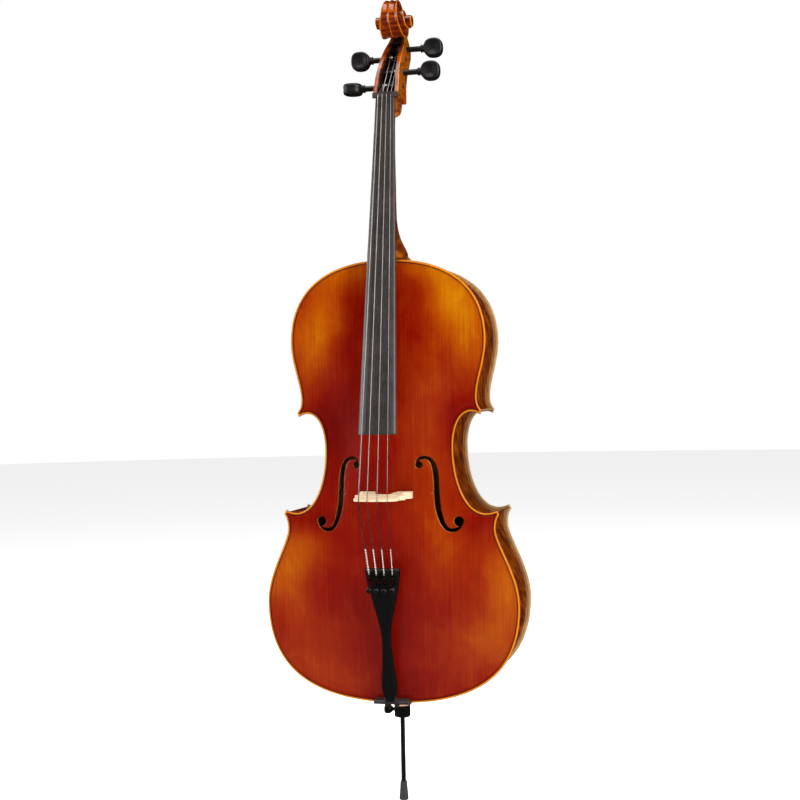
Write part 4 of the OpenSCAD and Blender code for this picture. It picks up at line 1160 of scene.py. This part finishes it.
def peg_disc(side, other):
    """The thumb piece: a soft square disc, whose two faces are hollowed and thickest near the
    rim. It lies across x and the axis `other`."""
    profile = rounded([(0.01, -6.4), (5, -6.8), (10, -8.4), (13.6, -9.6), (16, -8.4), (17, -5), (16.4, 0),
                       (17, 5), (16, 8.4), (13.6, 9.6), (10, 8.4), (5, 6.8), (0.01, 6.4)], 3.0, 6)
    p, f = lathe(profile, 72, (0, 0, 0), (0, 0, 1) if other == 1 else (0, 1, 0))
    square = (np.abs(p[:, 0]) ** 2.7 + np.abs(p[:, other]) ** 2.7) ** (1 / 2.7)
    p[:, [0, other]] *= (np.hypot(p[:, 0], p[:, other]) / np.maximum(square, 1e-6))[:, None] ** 0.9
    # it narrows toward the shaft and thins toward its free end
    u = p[:, 0] * side / 17
    p[:, other] *= 1 - 0.12 * np.clip(-u, 0, 1) ** 2
    p[:, 3 - other] *= 1 - 0.1 * np.clip(u, 0, 1) ** 2
    return p, f


def make_pegs():
    for i, name in enumerate(NAMES):
        side, py, pz, _, stands = PEGS[i]
        w, front, back, flare = read((BOX_W, BOX_FRONT, BOX_BACK, FLARE), pz)
        far = -w - flare * (py - front) / (back - front)
        out = w + stands
        shaft = rounded([(0, far - 1.2), (3.6, far - 1.2), (4.6, far - 0.2), (4.7, w), (4.9, out - 6),
                         (4.9, out - 3), (6.6, out - 2.4), (7.2, out - 1), (6.4, out + 0.4),
                         (5.4, out + 0.8), (5.6, out + 1.6), (7.4, out + 2.4), (7.6, out + 3.6),
                         (6.4, out + 5.0), (5, out + 7), (0.01, out + 8)], 0.5)
        # the C string's thumb piece lies flat
        disc, g = peg_disc(side, 1 if name == "c" else 2)
        p, f = joined(lathe(shaft, 40, (0, py, pz), (side, 0, 0)), (disc + (side * (out + 20), py, pz), g))
        mesh(f"peg_{name}_wood", p, f, PEG, body=f"peg_{name}", stands_for=[f"peg_{name}"],
             sharp=50)


make_pegs()


# ---- bridge
def bridge_edges():
    """The bridge's outline and its holes, as (x, y)."""
    def up(rises):
        return np.c_[rises[:, 0], BRIDGE_FOOT - rises[:, 1]]
    arm = wavy([(5, 29.5), (8.6, 31), (11.6, 30.4), (13.4, 26), (14.4, 17), (16, 10.5), (18.4, 7.4),
                (19, 5.6)], 1.2)
    foot = np.linspace(19, 45, 12)
    sole = np.c_[foot, face_out(foot, BRIDGE_Z) - 0.03]
    flank = wavy([(45, 5.0), (44.6, 7.2), (40, 9.6), (35.6, 14), (33.3, 20), (32.9, 27), (35.2, 32),
                  (39.6, 35.4), (42.8, 40), (42.4, 45.6), (38.8, 49.4), (36.6, 55), (36.8, 64),
                  (36.6, 74)], 1.2)
    head = np.linspace(36.4, -36.4, 60)[1:-1]
    half = [up(arm), sole, up(flank)]
    loop = np.vstack(half + [np.c_[head, bridge_y(head) - 0.35]] + [mirrored(h) for h in half[::-1]])
    # holes: the heart, and the two side eyes with their tongues
    heart = wavy([(0, 46.2), (1.4, 50), (3.6, 52.2), (7.2, 53.4), (9, 57), (7.2, 61), (3.6, 62),
                  (1.6, 63.6), (0.9, 69), (0, 71.4)], 0.7)
    eye = up(wavy([(17.5, 48), (19.4, 52.2), (24, 53.8), (28, 51.6), (29.6, 49.8), (32.4, 51), (35.2, 48.6),
                   (34.8, 45.2), (31.4, 43.8), (28.6, 44.8), (24.6, 41.6), (19.6, 43)], 0.8))
    return loop, [up(np.vstack([heart, mirrored(heart[1:-1])])), eye, eye * [-1, 1]]


def make_bridge():
    loop, holes = bridge_edges()
    extra = [lattice(loop, np.arange(-46, 47, 3.0), np.arange(BRIDGE_TOP - 2, BRIDGE_FOOT + 24, 3.0), 1.6,
                     holes, 1.6)]
    for edge in [loop] + holes:
        extra += edge_rows(edge, (0.12, 0.45, 0.9), 0.05, edge is not loop)
    flat, tri = cells([loop] + holes, kept_in(loop, holes), extra)
    # it is thinner toward its top, and leans a little
    share = (flat[:, 1] - BRIDGE_TOP) / (BRIDGE_FOOT - BRIDGE_TOP)
    d = np.min([distance(flat, q) for q in [loop] + holes], axis=0)
    half = 1.5 + 4.4 * np.clip(share, 0, 1) ** 0.9 - rounding(d, 0.8)
    lean = BRIDGE_Z + 3 * np.clip(share, 0, 1.2)
    p = np.vstack([np.c_[flat, lean + half], np.c_[flat, lean - half]])
    mesh("bridge_wood", p, both_sides(tri, len(flat)), BRIDGE, stands_for=["bridge"],
         sharp=45)


make_bridge()


# ---- tailpiece
TAIL_SIDE = [[(30.4, 0), (29.4, -34), (14, -76), (9.4, -104)],
             [(9.4, -104), (7, -122), (8, -140), (10.2, -168)],
             [(10.2, -168), (12.4, -190), (14.4, -198), (13.4, -212)],
             [(13.4, -212), (12.6, -224), (7, -232), (0, -232)]]
# the tuners' screws on the tailpiece's own height
SCREW_Z = -34


def make_tailpiece():
    side = chain(TAIL_SIDE, 1.6)
    top = np.c_[np.linspace(-30.4, 30.4, 32)[:-1], np.zeros(31)]
    loop = np.vstack([side, mirrored(side[1:-1]), top])
    slots = []
    key = np.array([(-2.5, -27), (2.5, -27), (2.5, -8), (1.1, -7.4), (1.1, -1.2), (-1.1, -1.2),
                    (-1.1, -7.4), (-2.5, -8), (-2.5, -27)], float)
    for x in TUNER_X:
        slots.append(evenly(key, 1.2)[:-1] + (x, 0))
        slots.append(circle(x, SCREW_Z, 1.8, 24))
    extra = edge_rows(loop, (0.15, 0.5, 1.1, 1.9, 3.0, 4.6), 0.06)
    for slot in slots:
        extra += edge_rows(slot, (0.15, 0.5), 0.05, True)
    extra.append(lattice(loop, np.arange(-28, 29, 2.0), np.arange(-231, 0, 2.6), 5.4, slots, 0.9))
    flat, tri = cells([loop] + slots, kept_in(loop, slots), extra)
    x = flat[:, 0]
    d, d_slot = distance(flat, loop), np.min([distance(flat, q) for q in slots], axis=0)
    # crowned face with a broad soft edge, falling to a thin side
    soft = 4.2 * np.clip(1 - d / 6.5, 0, 1) ** 2.2
    outer = np.minimum(-tail_crown(x) + soft + rounding(d, 0.9) + rounding(d_slot, 0.45), -1.2)
    p, f = slab(flat, tri, outer, 0 * x - rounding(d, 0.6))
    mesh("tailpiece_body", tail_point(p), f, BLACK, stands_for=["tailpiece"],
         sharp=45)


make_tailpiece()


def make_tuners():
    axis = (tail_point((0, -1, 0)) - tail_point((0, 0, 0)))[0]

    def grip(r, h, turn):
        return -0.4 * (np.cos(12 * turn) > 0.55) * (1.2 < h < 5.8) * (r > 4)
    profile = rounded([(0.01, 0), (3.2, 0), (4.6, 1.2), (4.6, 5.6), (3.8, 6.6), (1.6, 7), (0.01, 7)],
                      0.35, 3)
    for x, name in zip(TUNER_X, NAMES):
        c = float(tail_crown(x))
        knob, screw, lever = (f"tuner_{part}_{name}" for part in ("knob", "screw", "lever"))
        p, f = lathe(profile, 96, tail_point((x, -c - 6.2, SCREW_Z))[0], axis, grip)
        mesh(knob + "_grip", p, f, METAL, body=knob, stands_for=[knob], sharp=40)
        # the screw's thread, at 1 mm for each turn
        hs = np.arange(0, 0.9 + c + 6.3, 0.25)
        thread = [(0.01, 0)] + [(1.5 + 0.22 * math.sin(2 * PI * h), h) for h in hs] + [(0.01, hs[-1])]
        p, f = lathe(thread, 24, tail_point((x, 0.9, SCREW_Z))[0], axis)
        mesh(screw + "_thread", p, f, METAL, body=screw, stands_for=[screw], sharp=60)
        # the hook's black loop round the string's end
        oval = [(x + 2.1 * math.cos(a), -c - 2.1, -8.2 + 4.0 * math.sin(a))
                for a in np.radians(np.arange(-100, 261, 12))]
        p, f = pipe(tail_point(oval), 0.75, 12)
        mesh(f"tuner_hook_{name}", p, f, METAL, body=lever, sharp=60)


make_tuners()


# ---- tail cord, endpin
def make_cord():
    way = [(8.3, -85, 26), (8.3, -83.6, 16), (8.3, -83.2, 9), (8.3, -83.2, 4), (8.3, -82, 0),
           (8.4, -79, -2), (8.6, -74, -2.4), (9.2, -62, -2.5), (10.4, -44, -1.6), (11.8, -26, -0.8),
           (12.9, -12, -0.6)]
    loop = [(13.2 * math.cos(a), 13.2 * math.sin(a), -0.6) for a in np.radians(np.arange(0, 181, 15))]
    path = wavy(way + loop + [(-x, y, z) for x, y, z in way[::-1]], 1.2)
    p, f = pipe(path, 2.0, 18)
    mesh("tail_cord_tube", p, f, CORD, stands_for=["tail_cord"], sharp=60)


make_cord()


def make_end():
    tip = rounded([(0.01, 0.02), (5.5, 0.02), (7.2, 0.8), (8, 2.4), (7.6, 8), (6.6, 20), (5.8, 31.5),
                   (5.2, 33), (4.05, 33), (4.05, 32)], 0.5)
    p, f = lathe(tip, 64)
    mesh("endpin_tip_rubber", p, f, RUBBER, body="endpin", stands_for=["endpin_tip"],
         on_body=False, sharp=40)


make_end()

# CAD pieces that stay as they are, with their finish
for node, look in {
        "top_linings": INSIDE, "back_linings": INSIDE, "upper_block": INSIDE, "lower_block": INSIDE,
        "corner_blocks": INSIDE, "bass_bar": INSIDE, "sound_post": INSIDE, "nut": EBONY, "saddle": EBONY,
        "tuner_pin": STEEL, "endpin_plug": PLUG, "endpin_collar": METAL, "endpin_rod": ROD,
        "thumbscrew_shaft": ROD, "thumbscrew_knob": METAL,
        **{f"winding_{s}": STEEL for s in NAMES}, **{f"tuner_lever_{s}": METAL for s in NAMES},
        **{f"ball_end_{s}": BRASS for s in NAMES}}.items():
    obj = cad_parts[node]
    obj.data.materials.clear()
    obj.data.materials.append(look)
    for poly in obj.data.polygons:
        poly.material_index = 0


# ---- camera, light and stage
def make_camera():
    az, el, roll = (math.radians(v) for v in (13.64, 0.26, -1.07))
    back = Vector((math.sin(az) * math.cos(el), -math.cos(az) * math.cos(el), math.sin(el)))
    right = Vector((math.cos(az), math.sin(az), 0))
    up = back.cross(right)
    rr = math.cos(roll) * right + math.sin(roll) * up
    uu = -math.sin(roll) * right + math.cos(roll) * up
    at = Vector((0.00604, 0, 0.51527 + DROP / 1000)) + back * 2.42117
    data = bpy.data.cameras.new("camera")
    data.sensor_width = 36
    data.lens = 62.44
    data.clip_end = 60
    cam = bpy.data.objects.new("camera", data)
    bpy.context.scene.collection.objects.link(cam)
    cam.matrix_world = Matrix(((rr.x, uu.x, back.x, at.x), (rr.y, uu.y, back.y, at.y),
                               (rr.z, uu.z, back.z, at.z), (0, 0, 0, 1)))
    bpy.context.scene.camera = cam


def area_light(name, at, target, size, power):
    data = bpy.data.lights.new(name, "AREA")
    data.shape = "RECTANGLE"
    data.size, data.size_y = size
    data.energy = power
    obj = bpy.data.objects.new(name, data)
    bpy.context.scene.collection.objects.link(obj)
    obj.location = at
    obj.rotation_euler = (Vector(target) - Vector(at)).to_track_quat("-Z", "Y").to_euler()


def make_stage():
    def glow(name, colour, strength):
        mat = bpy.data.materials.new(name)
        mat.use_nodes = True
        nodes = mat.node_tree.nodes
        nodes.clear()
        out = nodes.new("ShaderNodeOutputMaterial")
        shade = nodes.new("ShaderNodeEmission")
        shade.inputs["Color"].default_value = colour
        shade.inputs["Strength"].default_value = strength
        mat.node_tree.links.new(shade.outputs[0], out.inputs[0])
        return mat
    bpy.ops.mesh.primitive_uv_sphere_add(segments=64, ring_count=32, radius=14, location=(0, 0, 0))
    dome = bpy.context.object
    dome.name = "backdrop"
    dome.data.materials.append(glow("backdrop_white", (1, 1, 1, 1), 1.0))
    dome.visible_diffuse = dome.visible_glossy = dome.visible_transmission = False
    dome.visible_shadow = False
    bpy.ops.mesh.primitive_circle_add(vertices=96, radius=13.9, fill_type="NGON", location=(0, 0, -0.0004))
    floor = bpy.context.object
    floor.name = "floor"
    pale = Look("floor_pale", rough=0.9, spec=0.0)
    pale.colour((0.86, 0.86, 0.86, 1))
    pale.set(pale.shader, "Emission Color", (1, 1, 1, 1))
    pale.set(pale.shader, "Emission Strength", 0.86)
    floor.data.materials.append(pale.mat)
    floor.visible_glossy = False


world = bpy.data.worlds.new("studio")
bpy.context.scene.world = world
world.use_nodes = True
world.node_tree.nodes["Background"].inputs["Color"].default_value = (1, 1, 1, 1)
world.node_tree.nodes["Background"].inputs["Strength"].default_value = 0.003
make_camera()
make_stage()
area_light("key", (2.5, -1.5, 1.9), (0, 0, 0.8), (1.2, 2.2), 92)
area_light("fill", (-2.8, -1.0, 1.4), (0, 0, 0.8), (1.0, 2.2), 62)
area_light("above", (0, -0.5, 3.3), (0, 0, 0.4), (2.2, 1.8), 78)
area_light("back_left", (-2.2, 2.4, 1.8), (0, 0, 0.8), (1.4, 1.8), 62)
area_light("back_right", (2.7, 0.9, 1.7), (0, 0, 0.8), (0.5, 1.8), 8)
bpy.context.scene.view_settings.view_transform = "Standard"
bpy.context.scene.view_settings.look = "None"
